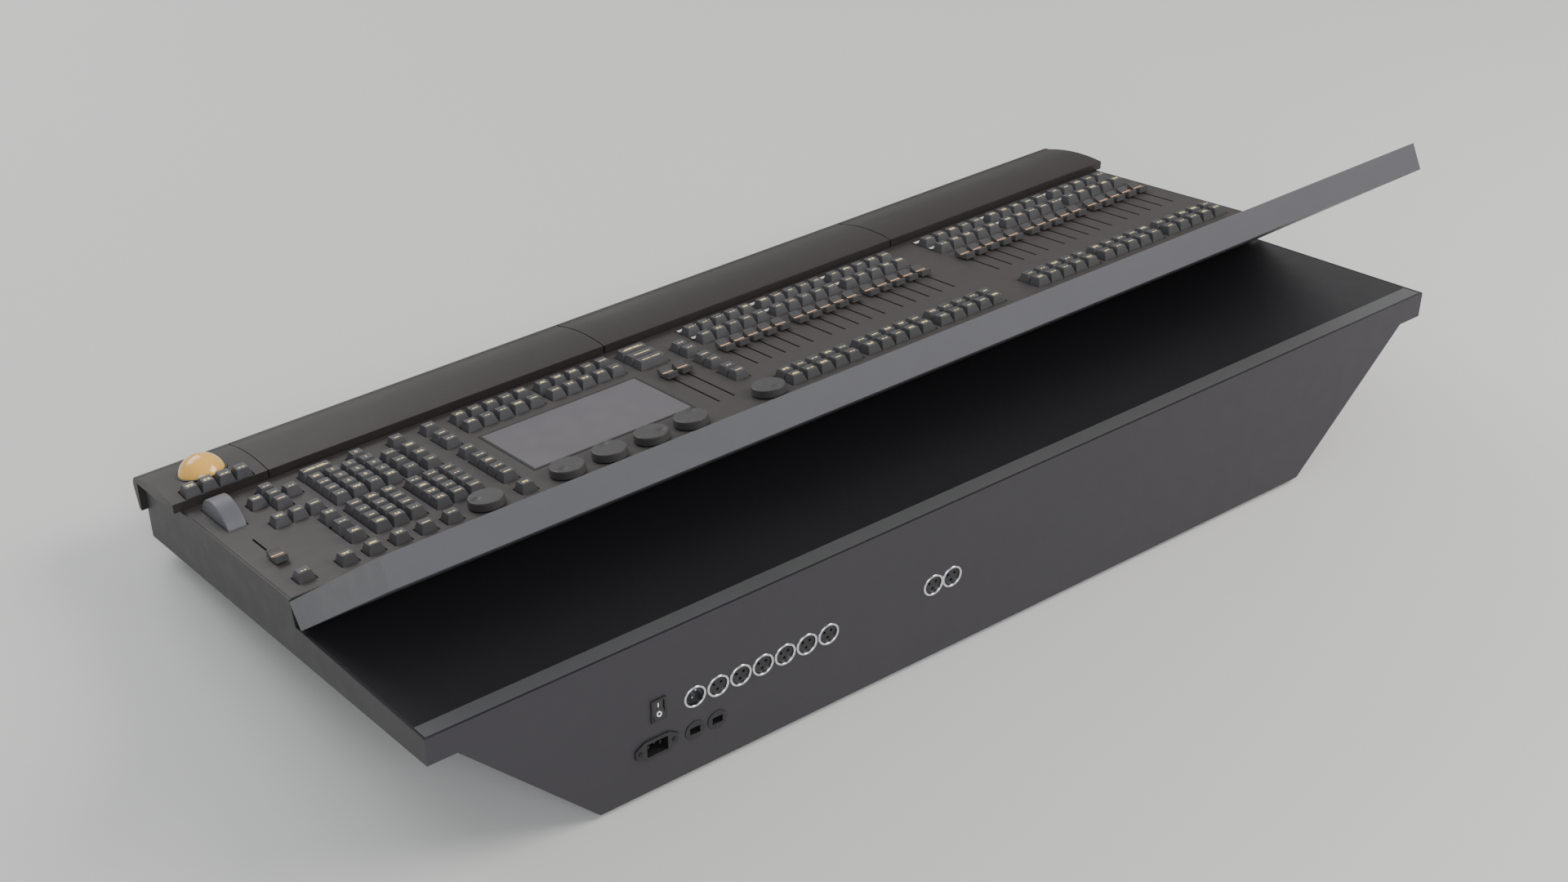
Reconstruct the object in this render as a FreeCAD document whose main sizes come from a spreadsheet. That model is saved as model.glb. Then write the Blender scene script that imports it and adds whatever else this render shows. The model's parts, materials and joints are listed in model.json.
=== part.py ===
import FreeCAD, Part
import math
import os
import Sketcher

# Lighting control desk, millimetres. +Z is up, +Y points to the rear, and +X is the operator's right.
# The origin is under the middle of the desk, on the surface that its feet stand on.
# Most outlines are drawn from the rear face (y = 0) and the bottom of the tub (z = 0).

doc = FreeCAD.newDocument("lighting_desk")
sheet = doc.addObject("Spreadsheet::Sheet", "sizes")

SIZES = {
    # case
    "desk_length": 1310, "desk_depth": 657, "front_height": 91.182, "rear_edge": 32,
    "deck_slope": 10.3, "deck_depth": 267.6, "trim_depth": 25, "riser_height": 31.2,
    "panel_slope": 11.9, "floor_front_height": 16, "sheet_wall": 3, "tub_wall": 2.5,
    "tub_top_inset": 31.5, "tub_bottom_inset": 175, "tub_foot_setback": 97, "tub_nose_setback": 45,
    "foot_height": 6, "foot_radius": 16, "foot_inset": 50,
    # armrest
    "arm_depth": 108, "arm_rise": 11.3, "arm_front_setback": 5, "arm_front_rise": 9.3, "arm_crown": 5,
    "arm_nose": 13, "arm_lip_drop": 37.2, "arm_lip_setback": 7, "arm_nose_round": 3,
    "arm_end": 7, "arm_seam": 1, "arm_module_width": 110, "arm_right_pad": 429,
    "arm_middle_pad": 426.5,
    # screen wing and its hinge
    "wing_depth": 297.5, "wing_gap": 0.5, "wing_lift": 30.5, "wing_wall": 3, "wing_rim": 14,
    "wing_bar": 20, "hinge_radius": 4, "pin_radius": 1.5, "lug_relief": 0.4, "lug_width": 12,
    "lug_inset": 55,
    "notch_clearance": 1, "pin_grip": 12, "run_clearance": 0.05, "fit_clearance": 0.02,
    "bezel_thickness": 3, "screen_width": 334, "screen_height": 210, "screen_pitch": 424,
    "screen_glass": 2, "module_thickness": 10, "module_margin": 6,
    # keys
    "key_base": 19.5, "key_top": 13, "key_height": 9.1, "key_skirt": 4, "key_lip": 0.5,
    "key_stem": 6, "key_stem_length": 5, "key_gap": 1, "wide_key_extra": 19.5,
    "board_drop": 12.4, "board_thickness": 1.6,
    # faders
    "cap_width": 14.5, "cap_length": 24, "cap_end": 8.5, "cap_valley": 5, "cap_lift": 1,
    "cap_lip": 2.5, "cap_lip_rise": 0.8, "cap_dip": 0.6,
    "blade_width": 1.2, "blade_length": 8, "blade_depth": 10, "slot_width": 2.4, "slot_end": 1.5,
    "fader_travel": 60, "long_travel": 100, "track_width": 12, "track_height": 12, "track_drop": 4,
    "track_end": 8, "track_floor": 2,
    # encoders, level wheel and trackball
    "disc_radius": 20, "disc_height": 9.2, "disc_gap": 0.8, "dimple_radius": 6, "dimple_depth": 1.6,
    "dimple_offset": 11, "shaft_radius": 3, "shaft_length": 14, "encoder_box": 16,
    "encoder_box_drop": 5, "encoder_box_height": 12,
    "wheel_radius": 39.3, "wheel_width": 21.5, "wheel_sink": 16.8, "wheel_gap": 1.25,
    "axle_radius": 4, "hanger_wall": 2, "hanger_width": 16,
    "ball_radius": 27, "ball_sink": 7.5, "ball_gap": 0.3, "cup_wall": 1.2, "cup_base": 4,
    "cup_rim": 0.6, "ball_inset": 55.5, "ball_web": 1.9, "ball_key_setback": 11.75,
    # command screen and label strips
    "command_width": 205.5, "command_height": 126.5, "command_gap": 0.4, "command_proud": 0.4,
    "command_module_depth": 12, "strip_length": 99, "strip_width": 7.6, "strip_thickness": 0.6,
    # rear connectors
    "ring_radius": 13, "ring_proud": 1.5, "barrel_radius": 11.8, "barrel_bore": 10.3,
    "barrel_length": 18, "core_gap": 0.2, "pin_circle": 5, "contact_radius": 1.1,
    "contact_hole": 1.6, "contact_recess": 5, "core_recess": 1, "core_base": 3,
    "socket_radius": 11.5, "socket_proud": 0.8, "socket_back": 2, "jack_width": 12,
    "jack_height": 8.5, "jack_depth": 15, "inlet_width": 24, "inlet_height": 16.5,
    "inlet_depth": 20, "inlet_wall": 2, "flange_proud": 2, "flange_ear": 13, "flange_rim": 2,
    "flange_waist": 5, "blade_recess": 4, "inlet_blade_width": 2, "inlet_blade_height": 4,
    "switch_width": 12.4, "switch_height": 22.4, "switch_depth": 16, "switch_wall": 1.5,
    "switch_proud": 1.6, "switch_rim": 1, "rocker_gap": 0.25, "rocker_tilt": 8,
    "rocker_crest": 3.5, "rocker_dip": 1.5, "rocker_pivot": 2, "rocker_depth": 5,
    "rocker_skirt": 1, "rocker_chamfer": 4, "trunnion_radius": 1.2, "trunnion_length": 0.8,
    # electronics in the tub
    "standoff": 8, "standoff_side": 6, "standoff_inset": 5, "main_board_length": 300,
    "main_board_width": 180, "heat_sink_side": 60, "heat_sink_height": 24, "supply_length": 110,
    "supply_width": 160, "supply_height": 34,
}
for row, (alias, number) in enumerate(SIZES.items(), start=1):
    sheet.set(f"A{row}", str(number))
    sheet.setAlias(f"A{row}", alias)
doc.recompute()

# Places on the control panel, as (x, distance from its rear edge). The panel is read from its own
# rear edge because every control is laid out from there.
PITCH = 20
BANK_PITCH = 19.7
BANK_STARTS = (20.5, -85, -190.5, -339.5, -445, -550.5)
BANK_SIZE = 5
FADER_REST = 176
UPPER_KEYS_REAR = 36
LOWER_KEYS_REAR = 219.5
LOWER_KEYS_PITCH = 30.5
STRIP_ROWS = (234.8, 266)
ENCODERS = (
    # x, distance, direction of the finger dimple in degrees, 0 to the right and 90 to the rear
    (416.5, 33, 0), (319.6, 32, 40), (267, 32, -85), (214, 32, 142), (163, 32, -124), (59, 33, 102),
)
CROSSFADERS = (("crossfader_a", 89.5), ("crossfader_b", 109.5))
CROSSFADER_REST = 162
GRAND_FADER = (626, 90)
WHEEL_AT = (626, 230.5)
COMMAND_SCREEN_AT = (238.75, 128.75)

# Key blocks as (x, distance, columns, rows, column pitch, row pitch) of the block's first key.
KEY_BLOCKS = {
    "function_keys": (
        (624, 32, 1, 1, PITCH, PITCH), (458, 32, 5, 1, 29.75, PITCH), (370, 33, 1, 1, PITCH, PITCH),
        (370, 73, 1, 4, PITCH, PITCH), (370, 160, 1, 1, PITCH, PITCH),
        (371.5, 199, 1, 2, PITCH, PITCH), (371.5, 249, 1, 1, PITCH, PITCH),
    ),
    "command_keys": (
        (479, 73, 3, 4, PITCH, PITCH), (409, 73, 3, 4, PITCH, PITCH), (547.5, 73, 1, 3, PITCH, 30.5),
    ),
    "numeric_keys": ((459, 168, 4, 4, PITCH, PITCH), (461, 249, 1, 1, PITCH, PITCH)),
    "cursor_keys": (
        (549, 168, 3, 1, PITCH, PITCH), (569, 208, 1, 1, PITCH, PITCH),
        (549, 228, 3, 1, PITCH, PITCH), (569, 249, 1, 1, PITCH, PITCH),
    ),
    "screen_keys": (
        (145, 220, 5, 2, PITCH, 29), (253.5, 220, 5, 2, PITCH, 29),
        (411, 168, 2, 3, 24.5, 25.5), (412, 249, 1, 1, PITCH, PITCH),
    ),
    "crossfade_keys": (
        (56, 98, 1, 2, PITCH, PITCH), (56, 148, 1, 2, PITCH, PITCH), (56, 199, 1, 2, PITCH, PITCH),
    ),
    "executor_upper_keys": tuple(
        (start, UPPER_KEYS_REAR, BANK_SIZE, 2, -BANK_PITCH, 19) for start in BANK_STARTS
    ),
    "executor_lower_keys": tuple(
        (start, LOWER_KEYS_REAR, BANK_SIZE, 2, -BANK_PITCH, LOWER_KEYS_PITCH) for start in BANK_STARTS
    ),
}
WIDE_KEYS = {
    "numeric_keys": ((510, 249, 1, 1, PITCH, PITCH),),
    "crossfade_keys": ((102, 211, 1, 3, PITCH, PITCH),),
}
BALL_KEY_COUNT = 4

# Rear connectors as (x, distance below the rear top edge).
SWITCH_AT = (409.5, 90.5)
INLET_AT = (413, 135.4)
MALE_XLR = ((367.3, 95.5),)
FEMALE_XLR = tuple((x, 95.5) for x in (340, 313.1, 286.2, 259.3, 232.4, 205.5, 70.3, 45.6))
NETWORK_AT = ((368.4, 138.2), (341.8, 138.2))
CONTACT_ANGLES = (30, 150, 270)
INLET_BLADES = ((-7, -1.5), (0, 2), (7, -1.5))

# Hinge lugs, as shares of the run between the outermost two, and boards in the tub by their corners.
LUG_SHARES = (-1, -0.5, 0, 0.5, 1)
MAIN_BOARD_AT = (-60, -230)
HEAT_SINK_AT = (60, -170)
SUPPLY_AT = (310, -190)

# How far a cutting tool runs past the faces that it cuts.
OVERRUN = 1

# Where the armrest's nose is furthest forward, as a share of its lip's height.
NOSE_SHARE = 0.76


class Size:
    """A number together with the sheet formula that it comes from."""

    def __init__(self, number, formula=None):
        self.number = float(number)
        self.formula = formula or f"{self.number:.9g}"

    def __add__(self, other):
        other = as_size(other)
        return Size(self.number + other.number, f"({self.formula} + {other.formula})")

    def __sub__(self, other):
        other = as_size(other)
        return Size(self.number - other.number, f"({self.formula} - ({other.formula}))")

    def __mul__(self, other):
        other = as_size(other)
        return Size(self.number * other.number, f"({self.formula} * {other.formula})")

    def __truediv__(self, other):
        other = as_size(other)
        return Size(self.number / other.number, f"({self.formula} / {other.formula})")

    def __neg__(self):
        return Size(-self.number, f"(0 - {self.formula})")

    def __radd__(self, other):
        return as_size(other) + self

    def __rsub__(self, other):
        return as_size(other) - self


def as_size(value):
    return value if isinstance(value, Size) else Size(value)


def size(alias):
    return Size(sheet.get(alias), f"sizes.{alias}")


def sine(angle):
    return Size(math.sin(math.radians(angle.number)), f"sin({angle.formula})")


def cosine(angle):
    return Size(math.cos(math.radians(angle.number)), f"cos({angle.formula})")


def tangent(angle):
    return Size(math.tan(math.radians(angle.number)), f"tan({angle.formula})")


def root(value):
    return Size(math.sqrt(value.number), f"sqrt({value.formula})")


def bind(item, prop, value):
    """Sets a property and keeps it tied to the sheet."""
    value = as_size(value)
    if "." not in prop:
        setattr(item, prop, value.number)
    item.setExpression(prop, value.formula)


# ---- places that several pieces share, in the rear-face frame ----
wall = size("sheet_wall")
half_length = size("desk_length") / 2
inner_half = half_length - wall
deck_slope = size("deck_slope")
panel_slope = size("panel_slope")
front_y = -size("desk_depth")
riser_foot_y = -size("deck_depth")
riser_top_y = riser_foot_y - size("riser_height") * sine(deck_slope)
riser_top_z = size("front_height") + (riser_top_y - front_y) * tangent(panel_slope)
riser_foot_z = riser_top_z - size("riser_height") * cosine(deck_slope)
rear_height = riser_foot_z + size("deck_depth") * tangent(deck_slope)
tub_half_top = half_length - size("tub_top_inset")
tub_half_bottom = half_length - size("tub_bottom_inset")
tub_foot_y = front_y + size("tub_foot_setback")
tub_nose_y = front_y + size("tub_nose_setback")
arm_rear_y = front_y + size("arm_depth")
arm_outer = half_length + size("arm_end")
arm_module_x = arm_outer - size("arm_module_width")
tray_half = half_length - size("wing_wall") * 2
lug_radius = size("hinge_radius") - size("lug_relief")
lug_stations = [(half_length - size("lug_inset")) * share for share in LUG_SHARES]

# The trackball stands in front of its keys, with a web between its cup and their window.
key_window = size("key_base") + size("key_gap") * 2
cup_radius = size("ball_radius") + size("ball_gap") + size("cup_wall")
ball_x = arm_outer - size("ball_inset")
ball_distance = size("ball_key_setback") + key_window / 2 + size("ball_web") + cup_radius
ball_keys = ((ball_x - BANK_PITCH * (BALL_KEY_COUNT - 1) / 2).number, 0, BALL_KEY_COUNT, 1,
             BANK_PITCH, PITCH)


def panel_z(y):
    """Height of the control panel's surface at y."""
    return riser_top_z + (y - riser_top_y) * tangent(panel_slope)


def floor_z(y):
    """Height of the sloping underside at y."""
    shoulder = rear_height - size("rear_edge")
    return shoulder + y * (shoulder - size("floor_front_height")) / size("desk_depth")


# ---- frames: a place and a tilt about X, from the origin under the desk's middle ----
rocker_half = size("switch_height") / 2 - size("rocker_gap") * 3
rear_proud = (size("rocker_crest") * cosine(size("rocker_tilt"))
              + rocker_half * sine(size("rocker_tilt")) - size("rocker_pivot"))
shift_y = (size("desk_depth") + size("arm_nose") - rear_proud) / 2
CASE = (shift_y, size("foot_height"), Size(0))
DECK = (shift_y, size("foot_height") + rear_height, deck_slope)
RISER = (shift_y + riser_top_y, size("foot_height") + riser_top_z, deck_slope)
PANEL = (RISER[0], RISER[1], panel_slope)
wing_tilt = deck_slope + size("wing_lift")
axis_y = size("hinge_radius") + size("wing_gap")
axis_z = -size("hinge_radius")
WING = (
    RISER[0] + axis_y * cosine(deck_slope) - axis_z * sine(deck_slope)
    - (axis_y * cosine(wing_tilt) - axis_z * sine(wing_tilt)),
    RISER[1] + axis_y * sine(deck_slope) + axis_z * cosine(deck_slope)
    - (axis_y * sine(wing_tilt) + axis_z * cosine(wing_tilt)),
    wing_tilt,
)

parts = []


def part(item, label, frame):
    """Names a finished sub-part, and stands it in its frame."""
    item.Label = label
    turn = FreeCAD.Rotation(FreeCAD.Vector(1, 0, 0), frame[2].number)
    item.Placement = FreeCAD.Placement(FreeCAD.Vector(0, frame[0].number, frame[1].number), turn)
    bind(item, "Placement.Base.y", frame[0])
    bind(item, "Placement.Base.z", frame[1])
    if frame[2].number:
        bind(item, "Placement.Rotation.Angle", frame[2])
    parts.append(item)
    return item


def placement_of(frame):
    turn = FreeCAD.Rotation(FreeCAD.Vector(1, 0, 0), frame[2].number)
    return FreeCAD.Placement(FreeCAD.Vector(0, frame[0].number, frame[1].number), turn)


# ---- sketches and features ----
def new_body(name):
    return doc.addObject("PartDesign::Body", name)


def pin_point(sketch, geometry, vertex, point):
    """Ties one sketch point to its two coordinates."""
    for kind, axis, value in (("DistanceX", -2, point[0]), ("DistanceY", -1, point[1])):
        value = as_size(value)
        if abs(value.number) < 1e-9:
            sketch.addConstraint(Sketcher.Constraint("PointOnObject", geometry, vertex, axis))
            continue
        constraint = Sketcher.Constraint(kind, -1, 1, geometry, vertex, value.number)
        index = sketch.addConstraint(constraint)
        sketch.setExpression(f"Constraints[{index}]", value.formula)


def vector(point):
    return FreeCAD.Vector(as_size(point[0]).number, as_size(point[1]).number, 0)


def polygon(sketch, points):
    """Closed outline. A point with two more numbers is reached by an arc through them."""
    first = sketch.GeometryCount
    count = len(points)
    for index, start in enumerate(points):
        end = points[(index + 1) % count]
        if len(end) == 4:
            edge = Part.Arc(vector(start[:2]), vector(end[2:]), vector(end[:2]))
        else:
            edge = Part.LineSegment(vector(start[:2]), vector(end[:2]))
        sketch.addGeometry(edge)
    for index, point in enumerate(points):
        arriving, leaving = first + (index - 1) % count, first + index
        here = vector(point[:2])
        start = nearer_end(sketch, leaving, here)
        sketch.addConstraint(Sketcher.Constraint("Coincident", arriving, nearer_end(sketch, arriving, here),
                                                 leaving, start))
        pin_point(sketch, leaving, start, point)


def nearer_end(sketch, geometry, place):
    """Which end of an edge lies on a place, because an arc may run backwards."""
    start = sketch.getPoint(geometry, 1)
    end = sketch.getPoint(geometry, 2)
    return 1 if start.distanceToPoint(place) <= end.distanceToPoint(place) else 2


def circle(sketch, centre, radius):
    radius = as_size(radius)
    round_edge = Part.Circle(vector(centre), FreeCAD.Vector(0, 0, 1), radius.number)
    geometry = sketch.addGeometry(round_edge)
    index = sketch.addConstraint(Sketcher.Constraint("Radius", geometry, radius.number))
    sketch.setExpression(f"Constraints[{index}]", radius.formula)
    pin_point(sketch, geometry, 3, centre)


def rectangle(sketch, centre, width, height):
    x, y = (as_size(value) for value in centre)
    half_width, half_height = as_size(width) / 2, as_size(height) / 2
    polygon(sketch, [(x - half_width, y - half_height), (x + half_width, y - half_height),
                     (x + half_width, y + half_height), (x - half_width, y + half_height)])


def sketch_on(body, name, role, start):
    """A sketch on one of the body's origin planes, moved along the plane's normal."""
    sketch = body.newObject("Sketcher::SketchObject", name)
    plane = next(item for item in body.Origin.OriginFeatures if item.Role == role)
    sketch.AttachmentSupport = [(plane, "")]
    sketch.MapMode = "FlatFace"
    start = as_size(start)
    sketch.AttachmentOffset = FreeCAD.Placement(FreeCAD.Vector(0, 0, start.number), FreeCAD.Rotation())
    sketch.setExpression("AttachmentOffset.Base.z", start.formula)
    return sketch


def pad(body, name, sketch, length):
    feature = body.newObject("PartDesign::Pad", name)
    feature.Profile = sketch
    bind(feature, "Length", length)
    return feature


def pocket(body, name, sketch, length):
    """Cuts from the sketch along its plane's normal."""
    doc.recompute()
    full = body.Shape.Volume
    feature = body.newObject("PartDesign::Pocket", name)
    feature.Profile = sketch
    feature.Reversed = True
    bind(feature, "Length", length)
    doc.recompute()
    if body.Shape.Volume >= full:
        raise RuntimeError(f"{name} cuts nothing")


def prism(body, name, role, start, length, points):
    """Pads a polygon."""
    sketch = sketch_on(body, f"{name}_outline", role, start)
    polygon(sketch, points)
    return pad(body, name, sketch, length)


def box(name, low, dims):
    """A Part box from its lowest corner. Sizes stay tied to the sheet."""
    item = doc.addObject("Part::Box", name)
    for prop, value in zip(("Length", "Width", "Height"), dims):
        bind(item, prop, value)
    item.Placement.Base = FreeCAD.Vector(*(as_size(value).number for value in low))
    return item


def cylinder(name, centre, radius, length, axis):
    """A Part cylinder that starts at centre and runs along axis."""
    item = doc.addObject("Part::Cylinder", name)
    bind(item, "Radius", radius)
    bind(item, "Height", length)
    turn = FreeCAD.Rotation(FreeCAD.Vector(0, 0, 1), FreeCAD.Vector(*axis))
    base = FreeCAD.Vector(*(as_size(value).number for value in centre))
    item.Placement = FreeCAD.Placement(base, turn)
    return item


def fused(name, shapes):
    item = doc.addObject("Part::MultiFuse", name)
    item.Shapes = shapes
    return item


def cut(name, base, tool):
    item = doc.addObject("Part::Cut", name)
    item.Base = base
    item.Tool = tool
    return item


def group(name, members):
    """Separate solids that make one sub-part."""
    item = doc.addObject("Part::Compound", name)
    item.Links = members
    return item


def copies(name, source, places):
    """Linked copies of one source, each at its own vector."""
    links = []
    for index, place in enumerate(places):
        link = doc.addObject("App::Link", f"{name}_{index}")
        link.LinkedObject = source
        link.LinkPlacement = FreeCAD.Placement(FreeCAD.Vector(*place), FreeCAD.Rotation())
        links.append(link)
    return links


# ---- case ----
def rear_panel():
    body = new_body("rear_panel")
    top = rear_height - wall * tangent(deck_slope)
    shoulder = rear_height - size("rear_edge")
    sketch = sketch_on(body, "rear_outline", "XZ_Plane", 0)
    polygon(sketch, [(-half_length, top), (-half_length, shoulder), (-tub_half_top, shoulder),
                     (-tub_half_bottom, 0), (tub_half_bottom, 0), (tub_half_top, shoulder),
                     (half_length, shoulder), (half_length, top)])
    pad(body, "rear_plate", sketch, wall)
    openings = sketch_on(body, "connector_openings", "XZ_Plane", -OVERRUN)
    fit = size("fit_clearance")
    for x, drop in MALE_XLR + FEMALE_XLR:
        circle(openings, (x, rear_height - drop), size("barrel_radius") + fit)
    for x, drop in NETWORK_AT:
        circle(openings, (x, rear_height - drop), size("socket_radius") + fit)
    x, drop = SWITCH_AT
    rectangle(openings, (x, rear_height - drop), size("switch_width") + size("switch_wall") * 2 + fit,
              size("switch_height") + size("switch_wall") * 2 + fit)
    x, drop = INLET_AT
    rectangle(openings, (x, rear_height - drop), size("inlet_width") + size("inlet_wall") * 2 + fit,
              size("inlet_height") + size("inlet_wall") * 2 + fit)
    pocket(body, "connector_cutouts", openings, wall + OVERRUN * 2)
    part(body, "rear_panel", CASE)


def side_panel(label, start):
    body = new_body(label)
    outline = [(-wall, rear_height - wall * tangent(deck_slope)), (riser_foot_y, riser_foot_z),
               (riser_top_y, riser_top_z), (front_y, panel_z(front_y)), (front_y, floor_z(front_y)),
               (-wall, floor_z(-wall))]
    prism(body, f"{label}_plate", "YZ_Plane", start, wall, outline)
    part(body, label, CASE)


def front_panel():
    body = new_body("front_panel")
    back = front_y + wall
    outline = [(front_y, floor_z(front_y)), (back, floor_z(back)), (back, panel_z(back)),
               (front_y, panel_z(front_y))]
    prism(body, "front_plate", "YZ_Plane", -inner_half, inner_half * 2, outline)
    part(body, "front_panel", CASE)


def tub_half(z, inset):
    """Half the tub's width at height z, less an inset."""
    spread = (tub_half_top - tub_half_bottom) / (rear_height - size("rear_edge"))
    return tub_half_bottom - inset + z * spread


def tub_block(name, inset, rear, top):
    """The tub's wedge, smaller by an inset on its bottom, its sides and its front."""
    body = new_body(name)
    inset = as_size(inset)
    section = [(-tub_half(inset, inset), inset), (tub_half(inset, inset), inset),
               (tub_half(top, inset), top), (-tub_half(top, inset), top)]
    prism(body, f"{name}_section", "XZ_Plane", -rear, rear - tub_nose_y, section)
    side = sketch_on(body, f"{name}_side", "YZ_Plane", -half_length)
    bottom_front = tub_foot_y + inset
    top_front = tub_nose_y + inset
    beyond = tub_nose_y - OVERRUN
    low, high = inset - OVERRUN, top + OVERRUN
    polygon(side, [(bottom_front, low), (top_front, floor_z(top_front)), (top_front, high),
                   (beyond, high), (beyond, low)])
    pocket(body, f"{name}_nose", side, half_length * 2)
    return body


def under_slab(body, name):
    """Takes away what stands above the sloping underside."""
    sketch = sketch_on(body, f"{name}_roof", "YZ_Plane", -half_length)
    high = rear_height + OVERRUN
    front = tub_nose_y - OVERRUN
    polygon(sketch, [(wall, floor_z(wall)), (wall, high), (front, high), (front, floor_z(front))])
    pocket(body, f"{name}_slope", sketch, half_length * 2)
    return body


def base_tub():
    top = rear_height
    outer = under_slab(tub_block("tub_outside", 0, -wall, top), "tub_outside")
    inner = tub_block("tub_inside", size("tub_wall"), wall, top + OVERRUN * 2)
    part(cut("base_tub", outer, inner), "base_tub", CASE)


def slab_floor():
    body = new_body("slab_floor")
    rear, front = -wall, front_y + wall
    rise = size("tub_wall")
    prism(body, "floor_sheet", "YZ_Plane", -inner_half, inner_half * 2,
          [(rear, floor_z(rear)), (rear, floor_z(rear) + rise), (front, floor_z(front) + rise),
           (front, floor_z(front))])
    part(body, "slab_floor", CASE)


def deck():
    run = size("deck_depth") / cosine(deck_slope)
    trim = size("trim_depth")
    plate = new_body("deck_plate")
    prism(plate, "deck_sheet", "YZ_Plane", -inner_half, inner_half * 2,
          [(-run, 0), (-trim, 0), (-trim, -wall), (-run, -wall)])
    part(plate, "deck_plate", DECK)
    strip = new_body("deck_trim")
    rear = wall / cosine(deck_slope)
    heel = rear + wall * tangent(deck_slope) * 2
    prism(strip, "trim_strip", "YZ_Plane", -inner_half, inner_half * 2,
          [(-trim, 0), (-rear, 0), (-heel, -wall), (-trim, -wall)])
    part(strip, "deck_trim", DECK)


def hinge_rail():
    body = new_body("hinge_rail")
    bottom = -size("riser_height") - wall
    prism(body, "riser_plate", "YZ_Plane", -inner_half, inner_half * 2,
          [(-wall, bottom), (0, bottom), (0, 0), (-wall, 0)])
    low, high = axis_z - lug_radius, axis_z + lug_radius
    tip = (axis_y + lug_radius, axis_z)
    for index, station in enumerate(lug_stations):
        start = station - size("lug_width") / 2
        prism(body, f"lug_{index}", "YZ_Plane", start, size("lug_width"),
              [(-wall / 2, low), (axis_y, low), (axis_y, high, *tip), (-wall / 2, high)])
    bores = sketch_on(body, "pin_bore", "YZ_Plane", -half_length)
    circle(bores, (axis_y, axis_z), size("pin_radius") + size("run_clearance"))
    pocket(body, "pin_bores", bores, half_length * 2)
    part(body, "hinge_rail", RISER)


def feet():
    y_front = tub_foot_y + size("foot_inset") + size("foot_radius")
    x_side = tub_half_bottom - size("foot_inset")
    members = []
    for x in (-x_side, x_side):
        for y in (-size("foot_inset"), y_front):
            name = f"foot_{len(members)}"
            members.append(cylinder(name, (x, y, -size("foot_height")), size("foot_radius"),
                                    size("foot_height"), (0, 0, 1)))
    part(group("feet", members), "feet", CASE)


# ---- control panel ----
def block_places(block):
    x, distance, columns, rows, column_pitch, row_pitch = block
    return [(x + column * column_pitch, -distance - row * row_pitch, 0)
            for row in range(rows) for column in range(columns)]


def block_box(name, block, extra, low, height, margin):
    """A box over a whole key block: its window, or the board below it."""
    x, distance, columns, rows, column_pitch, row_pitch = block
    reach_x = abs(column_pitch) * (columns - 1)
    reach_y = row_pitch * (rows - 1)
    side = key_window + margin
    left = min(x, x + column_pitch * (columns - 1))
    corner = (left - (side + extra) / 2, -distance - reach_y - side / 2, low)
    return box(name, corner, (side + extra + reach_x, side + reach_y, height))


def block_boxes(prefix, low, height, margin):
    boxes = []
    for table, extra in ((KEY_BLOCKS, Size(0)), (WIDE_KEYS, size("wide_key_extra"))):
        for label, blocks in table.items():
            for index, block in enumerate(blocks):
                name = f"{prefix}_{label}_{extra.number:.0f}_{index}"
                boxes.append(block_box(name, block, extra, low, height, margin))
    return boxes


def fader_places():
    """Every fader as (x, rest distance, travel, way it moves: 1 is to the rear)."""
    places = [(start - BANK_PITCH * index, FADER_REST, size("fader_travel"), 1)
              for start in BANK_STARTS for index in range(BANK_SIZE)]
    places += [(x, CROSSFADER_REST, size("long_travel"), 1) for _, x in CROSSFADERS]
    places.append((*GRAND_FADER, size("fader_travel"), -1))
    return places


def fader_box(name, place, width, end, low, height):
    """A box along a fader's whole travel."""
    x, rest, travel, way = place
    front = -rest if way == 1 else -rest - travel
    reach = size("blade_length") / 2 + end
    return box(name, (x - width / 2, front - reach, low), (width, travel + reach * 2, height))


def wheel_slot():
    x, distance = WHEEL_AT
    gap = size("wheel_gap")
    sink = size("wheel_sink") - wall
    half = root(size("wheel_radius") * size("wheel_radius") - sink * sink) + gap
    width = size("wheel_width") + gap * 2
    return box("wheel_slot", (x - width / 2, -distance - half, -wall - OVERRUN),
               (width, half * 2, wall + OVERRUN * 2))


def arm_chord():
    """The armrest's top as a chord: its rear end, its front end, and its slope in radians."""
    rear = (arm_rear_y, panel_z(arm_rear_y) + size("arm_rise"))
    front = (front_y + size("arm_front_setback"), panel_z(front_y) + size("arm_front_rise"))
    slope = math.atan2(rear[1].number - front[1].number, rear[0].number - front[0].number)
    return rear, front, slope


def arm_frame(distance):
    """A frame on the armrest's curved top, a distance in front of its rear edge."""
    rear, front, slope = arm_chord()
    chord = math.hypot(rear[0].number - front[0].number, rear[1].number - front[1].number)
    crown = size("arm_crown").number
    radius = (chord * chord / 4 + crown * crown) / (2 * crown)
    half_angle = math.asin(chord / 2 / radius)
    middle_y = (rear[0].number + front[0].number) / 2 + math.sin(slope) * (radius - crown)
    middle_z = (rear[1].number + front[1].number) / 2 - math.cos(slope) * (radius - crown)
    tilt = slope - half_angle * (1 - 2 * distance / chord)
    y = middle_y - math.sin(tilt) * radius
    z = middle_z + math.cos(tilt) * radius
    return (shift_y + y, size("foot_height") + z, Size(math.degrees(tilt)))


def ball_frame():
    return arm_frame(ball_distance.number)


def ball_key_frame():
    return arm_frame(size("ball_key_setback").number)


def seen_from(item, frame, into):
    """Moves a cutting tool from its own frame to the frame of what it cuts."""
    move = placement_of(into).inverse().multiply(placement_of(frame))
    item.Placement = move.multiply(item.Placement)
    return item


def ball_cutter(name, into):
    """The round hole that the trackball's cup sits in, seen from another frame."""
    depth = size("ball_sink") + size("ball_radius") + size("cup_base") + OVERRUN
    item = cylinder(name, (ball_x, 0, -depth), cup_radius + size("fit_clearance"),
                    depth + size("ball_radius"), (0, 0, 1))
    return seen_from(item, ball_frame(), into)


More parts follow.
